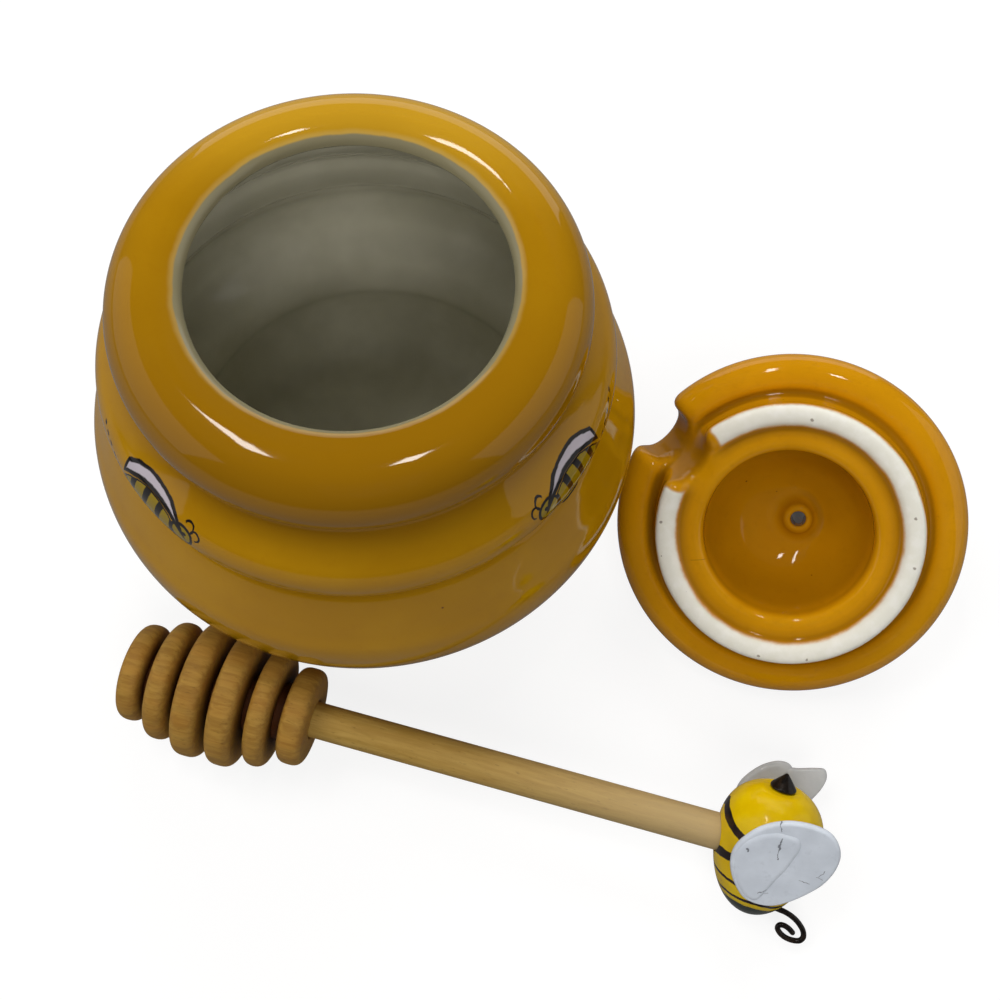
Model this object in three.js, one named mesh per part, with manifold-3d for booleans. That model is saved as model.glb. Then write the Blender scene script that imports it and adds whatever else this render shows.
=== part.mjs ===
// Beehive honey pot with a lift-off notched lid and a bee-topped honey dipper.
// Millimetres, +Z up. The pot stands on its foot ring, the lid lies upside down
// beside it on its crown and rim, and the dipper lies in front on its widest disc.

import * as THREE from 'three';
import { mergeVertices } from 'three/addons/utils/BufferGeometryUtils.js';
import Module from 'manifold-3d';

const wasm = await Module();
wasm.setup();

// Pot: four stacked rolls of clay, given from the bottom up

const LOW_ROLL_RADIUS = 47.8;
const LOW_ROLL_MIDDLE = 24;
const LOW_ROLL_HALF = 10;
const LOW_ROLL_BULGE = 7.2;
const BELLY_RADIUS = 58;
const BELLY_MIDDLE = 47.7;
const BELLY_HALF = 12.4;
const BELLY_BULGE = 6.9;
const UPPER_ROLL_RADIUS = 51.4;
const UPPER_ROLL_MIDDLE = 73.1;
const UPPER_ROLL_HALF = 8.8;
const UPPER_ROLL_BULGE = 9.1;
const TOP_ROLL_RADIUS = 45.2;
const TOP_ROLL_MIDDLE = 91.2;
const TOP_ROLL_HALF = 8.3;
const TOP_ROLL_BULGE = 8.9;

const POT_WALL = 5;
const POT_FLOOR = 7.5;
const FLOOR_CORNER = 9;
const MOUTH_RADIUS = 30.6;
const LIP_ROUND = 1.6;
const NECK_DROP = 6.5;
const FOOT_RADIUS = 38.6;
const FOOT_WIDTH = 5;
const FOOT_HEIGHT = 3.6;
const FOOT_EDGE = 0.7;

// Lid: heights run down from the face of its locating ring, which is zero

const RING_CLEARANCE = 1.5;
const RING_WIDTH = 4.2;
const RING_EDGE = 0.8;
const RING_DEPTH = 3;
const LID_RADIUS = 39.3;
const FLANGE_MIDDLE = 13.7;
const FLANGE_HALF = 5.3;
const FLANGE_BULGE = 5.6;
const SEAT_DEPTH = 9.4;
const DOME_ROLL_RADIUS = 27.4;
const DOME_ROLL_MIDDLE = 21.6;
const DOME_ROLL_HALF = 4.8;
const DOME_ROLL_BULGE = 5;
const CAP_ROLL_RADIUS = 17.8;
const CAP_ROLL_MIDDLE = 28.6;
const CAP_ROLL_HALF = 4.7;
const CAP_ROLL_BULGE = 5;
const CROWN_RADIUS = 9;
const CROWN_MIDDLE = 35.9;
const CROWN_HALF = 5.4;
const CROWN_BULGE = 6;
const HOLLOW_RADIUS = 18.9;
const HOLLOW_SHOULDER = 2.2;
const HOLLOW_DEPTH = 23.4;
const NUB_RADIUS = 3.4;
const NUB_HEIGHT = 4.6;
const NUB_FLARE = 4;
const VENT_RADIUS = 1.75;
const VENT_ASIDE = 1.2;

const NOTCH_WIDTH = 11.2;
const NOTCH_INNER = 22.4;
const NOTCH_FLARE = 3.4;
const NOTCH_RUNOUT = 9.4;
const NOTCH_DIRECTION = 164.6;

// Dipper: a grooved head glued on a plain dowel

const HEAD_LENGTH = 42.6;
const HEAD_RADIUS = 15.4;
const HEAD_END_RADIUS = 10.9;
const HEAD_CORE_RADIUS = 6.4;
const DISC_GROOVE = 2;
const DISC_ROUND = 1.9;
const DOWEL_RADIUS = 4;
const DOWEL_REACH = 90.9;
const DOWEL_IN_HEAD = 16;
const DOWEL_IN_BEE = 9;
const GLUE_GAP = 0.3;

// Bee: its long axis lies across the dowel, with the rear end at plus Z

const BEE_RADIUS = 11.2;
const BEE_WIDEST = 2.6;
const BEE_REAR = 13.9;
const BEE_HEAD = 16;
const STINGER_RADIUS = 3.1;
const STINGER_LENGTH = 3.4;
const WING_LENGTH = 24.4;
const WING_WIDTH = 21;
const WING_THICKNESS = 1.5;
const WING_LAP = 0.5;
const WING_SEAT_CUT = 0.9;
const WING_SEAT_DROP = 4.2;
const WING_REARWARD = 7.4;
const WING_UPWARD = 1.8;
const WIRE_RADIUS = 0.6;
const ANTENNA_LENGTH = 10;
const ANTENNA_SPREAD = 1.6;
const ANTENNA_ASIDE = 0.8;
const ANTENNA_DROP = 1.7;

// Where the loose pieces lie around the pot

const LID_CLEARANCE = 3.28;
const LID_SOUTH = 19.7;
const DIPPER_WEST = 49.5;
const DIPPER_CLEARANCE = 1.83;

const VENT_DIRECTION = -15;
const LID_HEADING = -20.9;
const DIPPER_HEADING = -11.5;
const BEE_LEAN = 55;
const WING_FLARE = 15;

// One overrun for every cut, and the distance that welds points

const OVERRUN = 2;
const WELD = 0.0001;

const POT_SEGMENTS = 46;
const LID_SEGMENTS = 38;
const HEAD_SEGMENTS = 20;
const BEE_SEGMENTS = 22;
const STICK_SEGMENTS = 20;
const WIRE_STEPS = 26;

const rad = THREE.MathUtils.degToRad;

const amber = { color: 0xc98a1c, roughness: 0.12, metalness: 0 };
const headWood = { color: 0xa5763c, roughness: 0.6, metalness: 0 };
const dowelWood = { color: 0xc49a62, roughness: 0.65, metalness: 0 };
const yellowPaint = { color: 0xe9c40e, roughness: 0.25, metalness: 0 };
const blackPaint = { color: 0x1a1715, roughness: 0.3, metalness: 0 };
const whiteEnamel = { color: 0xd2d4de, roughness: 0.2, metalness: 0 };

// Outline helpers: points are radius and height in the plane of a revolve

function point(radius, height) {
  return new THREE.Vector2(radius, height);
}

// An arc of a roll's oval section, angles in degrees from straight out
function ovalArc(centre, bulge, half, from, to, steps) {
  const points = [];
  for (let i = 0; i <= steps; i += 1) {
    const angle = rad(from + ((to - from) * i) / steps);
    points.push(point(centre.x + bulge * Math.cos(angle), centre.y + half * Math.sin(angle)));
  }
  return points;
}

// Where the straight lines through a-b and c-d meet
function crossing(a, b, c, d) {
  const along = b.clone().sub(a);
  const other = d.clone().sub(c);
  const share = c.clone().sub(a).cross(other) / along.cross(other);
  return a.clone().addScaledVector(along, share);
}

// A soft groove that leaves one outline and meets the next along both tangents
function groove(before, after, steps) {
  const start = before[before.length - 1];
  const end = after[0];
  const corner = crossing(before[before.length - 2], start, end, after[1]);
  const curve = new THREE.QuadraticBezierCurve(start, corner, end);
  return curve.getPoints(steps).slice(1, -1);
}

function softCorner(start, corner, end, steps) {
  return new THREE.QuadraticBezierCurve(start, corner, end).getPoints(steps);
}

// Rolls joined end to end by soft grooves
function rollOutline(rolls, steps) {
  const arcs = rolls.map((roll) =>
    ovalArc(point(roll.radius - roll.bulge, roll.middle), roll.bulge, roll.half, roll.from, roll.to, steps),
  );
  const outline = [...arcs[0]];
  for (let i = 1; i < arcs.length; i += 1) {
    outline.push(...groove(arcs[i - 1], arcs[i], 3), ...arcs[i]);
  }
  return outline;
}

// The same outline moved inwards by a wall, along its own normals
function inset(outline, wall) {
  return outline.map((here, i) => {
    const before = outline[Math.max(i - 1, 0)];
    const after = outline[Math.min(i + 1, outline.length - 1)];
    const along = after.clone().sub(before).normalize();
    return point(here.x - along.y * wall, here.y + along.x * wall);
  });
}

// Solid helpers: geometry to manifold and back, always closed and facing out

function signedVolume(position, triangles) {
  const a = new THREE.Vector3();
  const b = new THREE.Vector3();
  const c = new THREE.Vector3();
  let volume = 0;
  for (let i = 0; i < triangles.length; i += 3) {
    a.fromBufferAttribute(position, triangles[i]);
    b.fromBufferAttribute(position, triangles[i + 1]);
    c.fromBufferAttribute(position, triangles[i + 2]);
    volume += a.dot(b.cross(c));
  }
  return volume;
}

function toManifold(geometry) {
  const bare = geometry.clone();
  bare.deleteAttribute('normal');
  bare.deleteAttribute('uv');
  const merged = mergeVertices(bare, WELD);
  const position = merged.getAttribute('position');
  const kept = [];
  const index = merged.getIndex().array;
  for (let i = 0; i < index.length; i += 3) {
    const [a, b, c] = [index[i], index[i + 1], index[i + 2]];
    if (a !== b && b !== c && c !== a) kept.push(a, b, c);
  }
  if (signedVolume(position, kept) < 0) kept.reverse();
  const mesh = new wasm.Mesh({
    numProp: 3,
    vertProperties: new Float32Array(position.array),
    triVerts: new Uint32Array(kept),
  });
  return new wasm.Manifold(mesh);
}

function fromManifold(manifold) {
  const mesh = manifold.getMesh();
  const geometry = new THREE.BufferGeometry();
  geometry.setAttribute('position', new THREE.BufferAttribute(mesh.vertProperties, 3));
  geometry.setIndex(new THREE.BufferAttribute(mesh.triVerts, 1));
  geometry.computeVertexNormals();
  return geometry;
}

// A profile turned about the Z axis
function turned(profile, segments) {
  return new THREE.LatheGeometry(profile, segments).rotateX(rad(90));
}

// A straight round bar along Z from a start height to an end height
function bar(radius, start, end, segments) {
  const geometry = new THREE.CylinderGeometry(radius, radius, end - start, segments);
  return geometry.rotateX(rad(90)).translate(0, 0, (start + end) / 2);
}

function piece(name, manifold, look) {
  const mesh = new THREE.Mesh(fromManifold(manifold), new THREE.MeshStandardMaterial(look));
  mesh.name = name;
  return mesh;
}

// Moves a group up or down until its lowest point is on the table
function setDown(group) {
  group.updateMatrixWorld(true);
  const box = new THREE.Box3().setFromObject(group, true);
  group.position.z -= box.min.z;
  group.updateMatrixWorld(true);
}

// Pot body: one turned outline, outside up to the lip and inside down to the floor

function potProfile() {
  const lowCentre = point(FOOT_RADIUS, LOW_ROLL_MIDDLE);
  const lowDrop = LOW_ROLL_MIDDLE - FOOT_HEIGHT;
  const base = ovalArc(lowCentre, LOW_ROLL_RADIUS - FOOT_RADIUS, lowDrop, -88, -6, 6);
  const topRollCentre = TOP_ROLL_RADIUS - TOP_ROLL_BULGE;
  const rolls = [
    { radius: LOW_ROLL_RADIUS, middle: LOW_ROLL_MIDDLE, half: LOW_ROLL_HALF, bulge: LOW_ROLL_BULGE,
      from: 4, to: 35 },
    { radius: BELLY_RADIUS, middle: BELLY_MIDDLE, half: BELLY_HALF, bulge: BELLY_BULGE,
      from: -78, to: 54 },
    { radius: UPPER_ROLL_RADIUS, middle: UPPER_ROLL_MIDDLE, half: UPPER_ROLL_HALF,
      bulge: UPPER_ROLL_BULGE, from: -40, to: 52 },
    { radius: TOP_ROLL_RADIUS, middle: TOP_ROLL_MIDDLE, half: TOP_ROLL_HALF, bulge: TOP_ROLL_BULGE,
      from: -40, to: 90 },
  ];
  const rise = rollOutline(rolls, 5);
  const outside = [...base, ...rise];
  const rimTop = TOP_ROLL_MIDDLE + TOP_ROLL_HALF;
  const lip = softCorner(
    point(MOUTH_RADIUS + LIP_ROUND, rimTop - LIP_ROUND / 8),
    point(MOUTH_RADIUS, rimTop - LIP_ROUND / 8),
    point(MOUTH_RADIUS, rimTop - LIP_ROUND * 1.5),
    4,
  );
  const neckFoot = rimTop - NECK_DROP;
  const inner = inset(outside, POT_WALL)
    .filter((p, i) => i % 2 === 0)
    .filter((p) => p.y > POT_FLOOR + FLOOR_CORNER && p.y < TOP_ROLL_MIDDLE && p.x > topRollCentre)
    .reverse();
  const wallFoot = inner[inner.length - 1];
  const floorCorner = softCorner(
    wallFoot,
    point(wallFoot.x - FLOOR_CORNER / 4, POT_FLOOR),
    point(wallFoot.x - FLOOR_CORNER * 1.5, POT_FLOOR),
    5,
  ).slice(1);
  const recess = FOOT_HEIGHT - FOOT_EDGE;
  return [
    point(0, recess),
    point(FOOT_RADIUS - FOOT_WIDTH - FOOT_EDGE, recess),
    point(FOOT_RADIUS - FOOT_WIDTH, FOOT_EDGE),
    point(FOOT_RADIUS - FOOT_WIDTH + FOOT_EDGE, 0),
    point(FOOT_RADIUS - FOOT_EDGE, 0),
    point(FOOT_RADIUS, FOOT_EDGE),
    ...outside,
    ...lip,
    point(MOUTH_RADIUS, neckFoot),
    point(MOUTH_RADIUS + POT_WALL / 2, neckFoot - POT_WALL / 4),
    ...inner,
    ...floorCorner,
    point(0, POT_FLOOR),
  ];
}

function makePot() {
  return piece('pot_body', toManifold(turned(potProfile(), POT_SEGMENTS)), amber);
}

// Lid: a dome of rolls outside, a ring that drops in the mouth, a round hollow with a vented nub

function domeOutline() {
  const rolls = [
    { radius: LID_RADIUS, middle: -FLANGE_MIDDLE, half: FLANGE_HALF, bulge: FLANGE_BULGE,
      from: 100, to: -62 },
    { radius: DOME_ROLL_RADIUS, middle: -DOME_ROLL_MIDDLE, half: DOME_ROLL_HALF,
      bulge: DOME_ROLL_BULGE, from: 12, to: -56 },
    { radius: CAP_ROLL_RADIUS, middle: -CAP_ROLL_MIDDLE, half: CAP_ROLL_HALF, bulge: CAP_ROLL_BULGE,
      from: 12, to: -56 },
    { radius: CROWN_RADIUS, middle: -CROWN_MIDDLE, half: CROWN_HALF, bulge: CROWN_BULGE,
      from: 12, to: -90 },
  ];
  return rollOutline(rolls, 4);
}

function lidProfile() {
  const ringOuter = MOUTH_RADIUS - RING_CLEARANCE;
  const ringInner = ringOuter - RING_WIDTH;
  const dome = domeOutline();
  const seat = [
    point(ringOuter - RING_EDGE, 0),
    point(ringOuter, -RING_EDGE),
    ...softCorner(
      point(ringOuter + RING_EDGE / 2, -SEAT_DEPTH / 2),
      point(ringOuter + RING_EDGE, -SEAT_DEPTH),
      point(ringOuter + RING_EDGE * 2.5, -SEAT_DEPTH),
      3,
    ),
  ];
  const shoulderMiddle = (ringInner + HOLLOW_RADIUS) / 2;
  const shoulder = [
    point(ringInner + RING_EDGE, 0),
    point(ringInner, -RING_EDGE),
    point(ringInner - RING_EDGE, -RING_DEPTH),
    point(shoulderMiddle, -HOLLOW_SHOULDER),
    point(HOLLOW_RADIUS + RING_EDGE, -HOLLOW_SHOULDER),
    point(HOLLOW_RADIUS, -RING_DEPTH),
  ];
  const footRadius = NUB_RADIUS + NUB_FLARE;
  const footAngle = THREE.MathUtils.radToDeg(Math.acos(footRadius / HOLLOW_RADIUS));
  const bowlDepth = HOLLOW_DEPTH - RING_DEPTH;
  const bowl = ovalArc(point(0, -RING_DEPTH), HOLLOW_RADIUS, bowlDepth, -12, -footAngle, 5);
  const foot = bowl.pop();
  const nubTop = -HOLLOW_DEPTH + NUB_HEIGHT;
  const nub = [
    ...softCorner(
      foot,
      point(NUB_RADIUS + NUB_FLARE / 4, foot.y - NUB_HEIGHT / 4),
      point(NUB_RADIUS, nubTop - NUB_HEIGHT / 8),
      5,
    ),
    point(NUB_RADIUS - NUB_HEIGHT / 8, nubTop),
    point(0, nubTop),
  ];
  const crownFoot = -CROWN_MIDDLE - CROWN_HALF;
  const inside = [...nub.reverse(), ...bowl.reverse(), ...shoulder.reverse()];
  return [...inside, ...seat, ...dome, point(0, crownFoot)];
}

// The vent through the nub and the crown, poked a little off the middle
function ventCutter() {
  const foot = -CROWN_MIDDLE - CROWN_HALF - OVERRUN;
  const geometry = bar(VENT_RADIUS, foot, -HOLLOW_DEPTH + NUB_HEIGHT + OVERRUN, 16);
  return geometry.translate(VENT_ASIDE, 0, 0).rotateZ(rad(VENT_DIRECTION));
}

// The notch that lets the dowel stand out of the closed pot: a round-ended slot that leans
// outwards with depth, its corners flared where they meet the rim
function notchCutter() {
  const half = NOTCH_WIDTH / 2;
  const centre = NOTCH_INNER + half;
  const lean = NOTCH_RUNOUT / (FLANGE_MIDDLE + FLANGE_HALF);
  const rim = LID_RADIUS - NOTCH_RUNOUT;
  const far = LID_RADIUS + OVERRUN * 2;
  const plan = new THREE.Shape();
  plan.moveTo(centre, -half);
  plan.lineTo(rim - NOTCH_FLARE, -half);
  plan.quadraticCurveTo(rim, -half, rim, -half - NOTCH_FLARE);
  plan.lineTo(far, -half - NOTCH_FLARE);
  plan.lineTo(far, half + NOTCH_FLARE);
  plan.lineTo(rim, half + NOTCH_FLARE);
  plan.quadraticCurveTo(rim, half, rim - NOTCH_FLARE, half);
  plan.lineTo(centre, half);
  plan.absarc(centre, 0, half, rad(90), rad(270), false);
  const depth = FLANGE_MIDDLE + FLANGE_HALF + OVERRUN * 2;
  const slot = new THREE.ExtrudeGeometry(plan, { depth, bevelEnabled: false, curveSegments: 6 });
  slot.translate(0, 0, -depth + OVERRUN);
  const shear = new THREE.Matrix4().set(1, 0, -lean, 0, 0, 1, 0, 0, 0, 0, 1, 0, 0, 0, 0, 1);
  return slot.applyMatrix4(shear).rotateZ(rad(NOTCH_DIRECTION));
}

// The tilt at which the dome lies on the table: the longest straight side of its outline's hull
function restingTilt(outline) {
  const byReach = outline.slice().sort((p, q) => p.x - q.x);
  const hull = [];
  for (const here of byReach) {
    while (hull.length > 1) {
      const last = hull[hull.length - 1];
      const side = last.clone().sub(hull[hull.length - 2]);
      if (side.cross(here.clone().sub(last)) > 0) break;
      hull.pop();
    }
    hull.push(here);
  }
  let longest = 0;
  let tilt = 0;
  for (let i = 1; i < hull.length; i += 1) {
    const side = hull[i].clone().sub(hull[i - 1]);
    if (side.length() > longest) {
      longest = side.length();
      tilt = Math.atan2(side.y, side.x);
    }
  }
  return tilt;
}

function makeLid() {
  const body = toManifold(turned(lidProfile(), LID_SEGMENTS));
  const cut = body.subtract(toManifold(notchCutter())).subtract(toManifold(ventCutter()));
  const lid = new THREE.Group();
  lid.add(piece('lid', cut, amber));
  const tilt = restingTilt(domeOutline());
  lid.rotation.x = tilt;
  const place = new THREE.Group();
  place.add(lid);
  place.rotation.z = rad(LID_HEADING);
  const east = BELLY_RADIUS + LID_RADIUS * Math.cos(tilt) + LID_CLEARANCE;
  place.position.set(east, -LID_SOUTH, 0);
  return place;
}

// Dipper head: six discs on a core, each disc with rounded shoulders

const discWidthShares = [0.145, 0.165, 0.185, 0.185, 0.16, 0.16];

function headProfile() {
  const profile = [point(0, 0)];
  let start = 0;
  discWidthShares.forEach((share, i) => {
    const middle = i / (discWidthShares.length - 1);
    const swell = Math.sin(Math.PI * middle) ** 1.2;
    const radius = HEAD_END_RADIUS + (HEAD_RADIUS - HEAD_END_RADIUS) * swell;
    const first = i === 0;
    const last = i === discWidthShares.length - 1;
    const from = start + (first ? 0 : DISC_GROOVE / 2);
    const to = start + share * HEAD_LENGTH - (last ? 0 : DISC_GROOVE / 2);
    if (!first) profile.push(point(HEAD_CORE_RADIUS, from));
    const flat = radius - DISC_ROUND;
    profile.push(
      ...softCorner(point(flat, from), point(radius, from), point(radius, from + DISC_ROUND), 2),
      ...softCorner(point(radius, to - DISC_ROUND), point(radius, to), point(flat, to), 2),
    );
    if (!last) profile.push(point(HEAD_CORE_RADIUS, to));
    start += share * HEAD_LENGTH;
  });
  profile.push(point(0, HEAD_LENGTH));
  return profile;
}

function makeHead() {
  const blank = toManifold(turned(headProfile(), HEAD_SEGMENTS));
  const socketFloor = HEAD_LENGTH - DOWEL_IN_HEAD - GLUE_GAP;
  const socket = toManifold(bar(DOWEL_RADIUS + GLUE_GAP, socketFloor, HEAD_LENGTH + OVERRUN, STICK_SEGMENTS));
  return piece('dipper_head', blank.subtract(socket), headWood);
}

function makeDowel() {
  const start = HEAD_LENGTH - DOWEL_IN_HEAD;
  const end = HEAD_LENGTH + DOWEL_REACH + DOWEL_IN_BEE;
  return piece('dipper_handle', toManifold(bar(DOWEL_RADIUS, start, end, STICK_SEGMENTS)), dowelWood);
}

// Bee: an egg with its rear at plus Z, its back at plus X and its belly on the dowel

function beeRadiusAt(height) {
  const reach = height > BEE_WIDEST ? BEE_REAR - BEE_WIDEST : BEE_HEAD + BEE_WIDEST;
  const share = Math.min(Math.abs(height - BEE_WIDEST) / reach, 1);
  const power = height > BEE_WIDEST ? 2.3 : 2;
  return BEE_RADIUS * (1 - share ** power) ** (1 / power);
}

function beeProfile() {
  const steps = 14;
  const profile = [];
  for (let i = 0; i <= steps; i += 1) {
    const share = (1 - Math.cos((Math.PI * i) / steps)) / 2;
    const height = -BEE_HEAD + (BEE_HEAD + BEE_REAR) * share;
    profile.push(point(i === 0 || i === steps ? 0 : beeRadiusAt(height), height));
  }
  return profile;
}

// How far the wing seats lie from the bee's axis, at the height where the wings touch it
const wingSeatReach = beeRadiusAt(-WING_SEAT_DROP) - WING_SEAT_CUT;

// The rear pole is cut flat here for the stinger
const stingerSeat = BEE_REAR - GLUE_GAP * 2;

// Stands a thing that is flat in X and Y against one side of the bee: side 1 is the bee's right
function onBeeSide(thing, side, off) {
  thing.rotateX(rad(90 + WING_FLARE));
  thing.translate(0, -off, -WING_SEAT_DROP);
  return thing.scale(1, side, 1);
}

// The wire leaves the head, bends down over the back and rolls up in a curl that tightens.
// Shares of the antenna's length, outwards from the bee's axis and rearwards from its head end.
const antennaRootShares = [[0.26, 0.31], [0.41, 0.29]];
const antennaShares = [
  [0.62, 0.296], [0.79, 0.273], [0.98, 0.207], [1.14, 0.105], [1.285, -0.053], [1.326, -0.196],
  [1.271, -0.292], [1.129, -0.328], [0.957, -0.308], [0.81, -0.23], [0.74, -0.135], [0.765, -0.06],
  [0.855, -0.043], [0.97, -0.08], [1.075, -0.15],
];

function antennaCurve(side) {
  const aside = side > 0 ? 0 : ANTENNA_ASIDE;
  const drop = side > 0 ? 0 : ANTENNA_DROP;
  const at = (out, back) => new THREE.Vector3(
    out * ANTENNA_LENGTH,
    -side * ANTENNA_SPREAD,
    back * ANTENNA_LENGTH - BEE_HEAD,
  );
  const root = antennaRootShares.map(([out, back]) => at(out, back).add(new THREE.Vector3(0, 0, -drop / 2)));
  const curl = antennaShares.map(([out, back]) => at(out, back).add(new THREE.Vector3(aside, 0, -drop)));
  return new THREE.CatmullRomCurve3([...root, ...curl], false, 'centripetal');
}

function wireAlong(curve, radius) {
  const section = new THREE.Shape();
  section.absarc(0, 0, radius, 0, rad(360), false);
  return new THREE.ExtrudeGeometry(section, { extrudePath: curve, steps: WIRE_STEPS, curveSegments: 3 });
}

function makeBeeBody() {
  let body = toManifold(turned(beeProfile(), BEE_SEGMENTS));
  const holeFloor = -BEE_RADIUS + DOWEL_IN_BEE + GLUE_GAP;
  const hole = bar(DOWEL_RADIUS + GLUE_GAP, -BEE_RADIUS - OVERRUN, holeFloor, STICK_SEGMENTS);
  body = body.subtract(toManifold(hole.rotateY(rad(90))));
  const reach = BEE_RADIUS + BEE_HEAD;
  for (const side of [1, -1]) {
    const block = new THREE.BoxGeometry(reach * 2, reach * 2, BEE_RADIUS).translate(0, 0, BEE_RADIUS / 2);
    body = body.subtract(toManifold(onBeeSide(block, side, wingSeatReach)));
    const root = wireAlong(antennaCurve(side), WIRE_RADIUS + GLUE_GAP);
    body = body.subtract(toManifold(root));
  }
  const tail = new THREE.BoxGeometry(reach, reach, BEE_REAR).translate(0, 0, stingerSeat + BEE_REAR / 2);
  return piece('bee_body', body.subtract(toManifold(tail)), yellowPaint);
}

function makeStinger() {
  const profile = [
    point(0, 0),
    point(STINGER_RADIUS, 0),
    point(STINGER_RADIUS * 0.72, STINGER_LENGTH * 0.38),
    point(STINGER_RADIUS * 0.14, STINGER_LENGTH * 0.96),
    point(0, STINGER_LENGTH),
  ];
  const cone = turned(profile, BEE_SEGMENTS).translate(0, 0, stingerSeat + GLUE_GAP);
  return piece('bee_stinger', toManifold(cone), blackPaint);
}

// Two rounded lobes that fan out from one root, the fore lobe lapped over the hind lobe.
// Points are shares of the wing's width and length, from the root at the front of the bee.
const rightHindLobeShares = [
  [-0.11, -0.5], [0.04, -0.48], [0.2, -0.38], [0.42, -0.13], [0.48, 0.01], [0.5, 0.13], [0.485, 0.255],
  [0.42, 0.363], [0.32, 0.442], [0.16, 0.476], [-0.02, 0.465], [-0.16, 0.423], [-0.33, 0.313],
  [-0.426, 0.191], [-0.48, 0.089], [-0.5, -0.02], [-0.48, -0.144], [-0.42, -0.272], [-0.33, -0.392],
  [-0.23, -0.475],
];
const rightForeLobeShares = [
  [-0.12, -0.46], [-0.21, -0.455], [-0.31, -0.38], [-0.4, -0.265], [-0.46, -0.14], [-0.48, -0.02],
  [-0.46, 0.08], [-0.405, 0.18], [-0.31, 0.27], [-0.17, 0.335], [-0.05, 0.342], [0.05, 0.332],
  [0.1, 0.28], [0.11, 0.208], [0.094, 0.117], [0.061, -0.038], [0.002, -0.189], [-0.059, -0.343],
];
const leftHindLobeShares = [
  [0, -0.47], [0.12, -0.36], [0.2, -0.16], [0.29, 0.04], [0.37, 0.18], [0.45, 0.32], [0.47, 0.42],
  [0.43, 0.485], [0.33, 0.475], [0.17, 0.435], [0.03, 0.4], [-0.06, 0.25], [-0.1, 0], [-0.1, -0.3],
];
const leftForeLobeShares = [
  [-0.08, -0.47], [-0.2, -0.47], [-0.33, -0.33], [-0.42, -0.1], [-0.43, 0.08], [-0.4, 0.185],
  [-0.3, 0.31], [-0.19, 0.395], [-0.06, 0.45], [0.05, 0.45], [0.11, 0.4], [0.12, 0.26], [0.08, 0.05],
  [0.01, -0.25],
];

function lobe(shares, thickness) {
  const outline = shares.map(
    ([across, along]) => new THREE.Vector3(across * WING_WIDTH, along * WING_LENGTH, 0),
  );
  const curve = new THREE.CatmullRomCurve3(outline, true, 'centripetal');
  const plan = new THREE.Shape(curve.getPoints(22).slice(0, -1).map((p) => new THREE.Vector2(p.x, p.y)));
  const bevel = WING_THICKNESS / 4;
  return new THREE.ExtrudeGeometry(plan, {
    depth: thickness - bevel * 2,
    bevelThickness: bevel,
    bevelSize: bevel,
    bevelOffset: -bevel,
    bevelSegments: 1,
  }).translate(0, 0, bevel);
}

function makeWing(name, side, hindShares, foreShares) {
  const off = wingSeatReach + GLUE_GAP;
  const hind = lobe(hindShares, WING_THICKNESS).translate(WING_UPWARD, WING_REARWARD, 0);
  const fore = lobe(foreShares, WING_THICKNESS + WING_LAP).translate(WING_UPWARD, WING_REARWARD, 0);
  const both = toManifold(onBeeSide(hind, side, off)).add(toManifold(onBeeSide(fore, side, off)));
  return piece(name, both, whiteEnamel);
}

function makeAntenna(name, side) {
  return piece(name, toManifold(wireAlong(antennaCurve(side), WIRE_RADIUS)), blackPaint);
}

function makeBee() {
  const bee = new THREE.Group();
  bee.add(makeBeeBody());
  bee.add(makeStinger());
  bee.add(makeWing('bee_wing_right', 1, rightHindLobeShares, rightForeLobeShares));
  bee.add(makeWing('bee_wing_left', -1, leftHindLobeShares, leftForeLobeShares));
  bee.add(makeAntenna('bee_antenna_right', 1));
  bee.add(makeAntenna('bee_antenna_left', -1));
  return bee;
}

// How far south of the pot's axis the dipper starts, so that no disc of its head comes nearer
// to the pot than the clearance
function dipperSouth() {
  const heading = rad(DIPPER_HEADING);
  const head = headProfile();
  const axisHeight = Math.max(...head.map((p) => p.x));
  let south = 0;
  for (const rim of head) {
    for (const skin of potProfile()) {
      const rise = skin.y - axisHeight;
      if (Math.abs(rise) < rim.x) {
        const inwards = Math.sqrt(rim.x ** 2 - rise ** 2);
        const east = rim.y * Math.cos(heading) - inwards * Math.sin(heading) - DIPPER_WEST;
        const north = rim.y * Math.sin(heading) + inwards * Math.cos(heading);
        const clear = (skin.x + DIPPER_CLEARANCE) ** 2 - east ** 2;
        if (clear > 0) south = Math.max(south, north + Math.sqrt(clear));
      }
    }
  }
  return south;
}

function makeDipper() {
  const dipper = new THREE.Group();
  const stick = new THREE.Group();
  stick.add(makeHead());
  stick.add(makeDowel());
  stick.rotation.y = rad(90);
  dipper.add(stick);
  const bee = makeBee();
  bee.rotation.x = rad(-BEE_LEAN);
  bee.position.x = HEAD_LENGTH + DOWEL_REACH + BEE_RADIUS;
  dipper.add(bee);
  dipper.rotation.z = rad(DIPPER_HEADING);
  dipper.position.set(-DIPPER_WEST, -dipperSouth(), 0);
  return dipper;
}

// The set, with its origin under the middle of its footprint

const set = new THREE.Group();
set.add(makePot());
const lid = makeLid();
const dipper = makeDipper();
setDown(lid);
setDown(dipper);
set.add(lid, dipper);
set.updateMatrixWorld(true);
const extent = new THREE.Box3().setFromObject(set, true);
const middle = extent.getCenter(new THREE.Vector3());
set.position.set(-middle.x, -middle.y, -extent.min.z);

export default set;
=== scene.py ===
"""A honey pot, its lid and its dipper on a white table, seen from above."""
import math

import bmesh
import bpy
import numpy as np
from mathutils import Matrix, Vector


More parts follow.
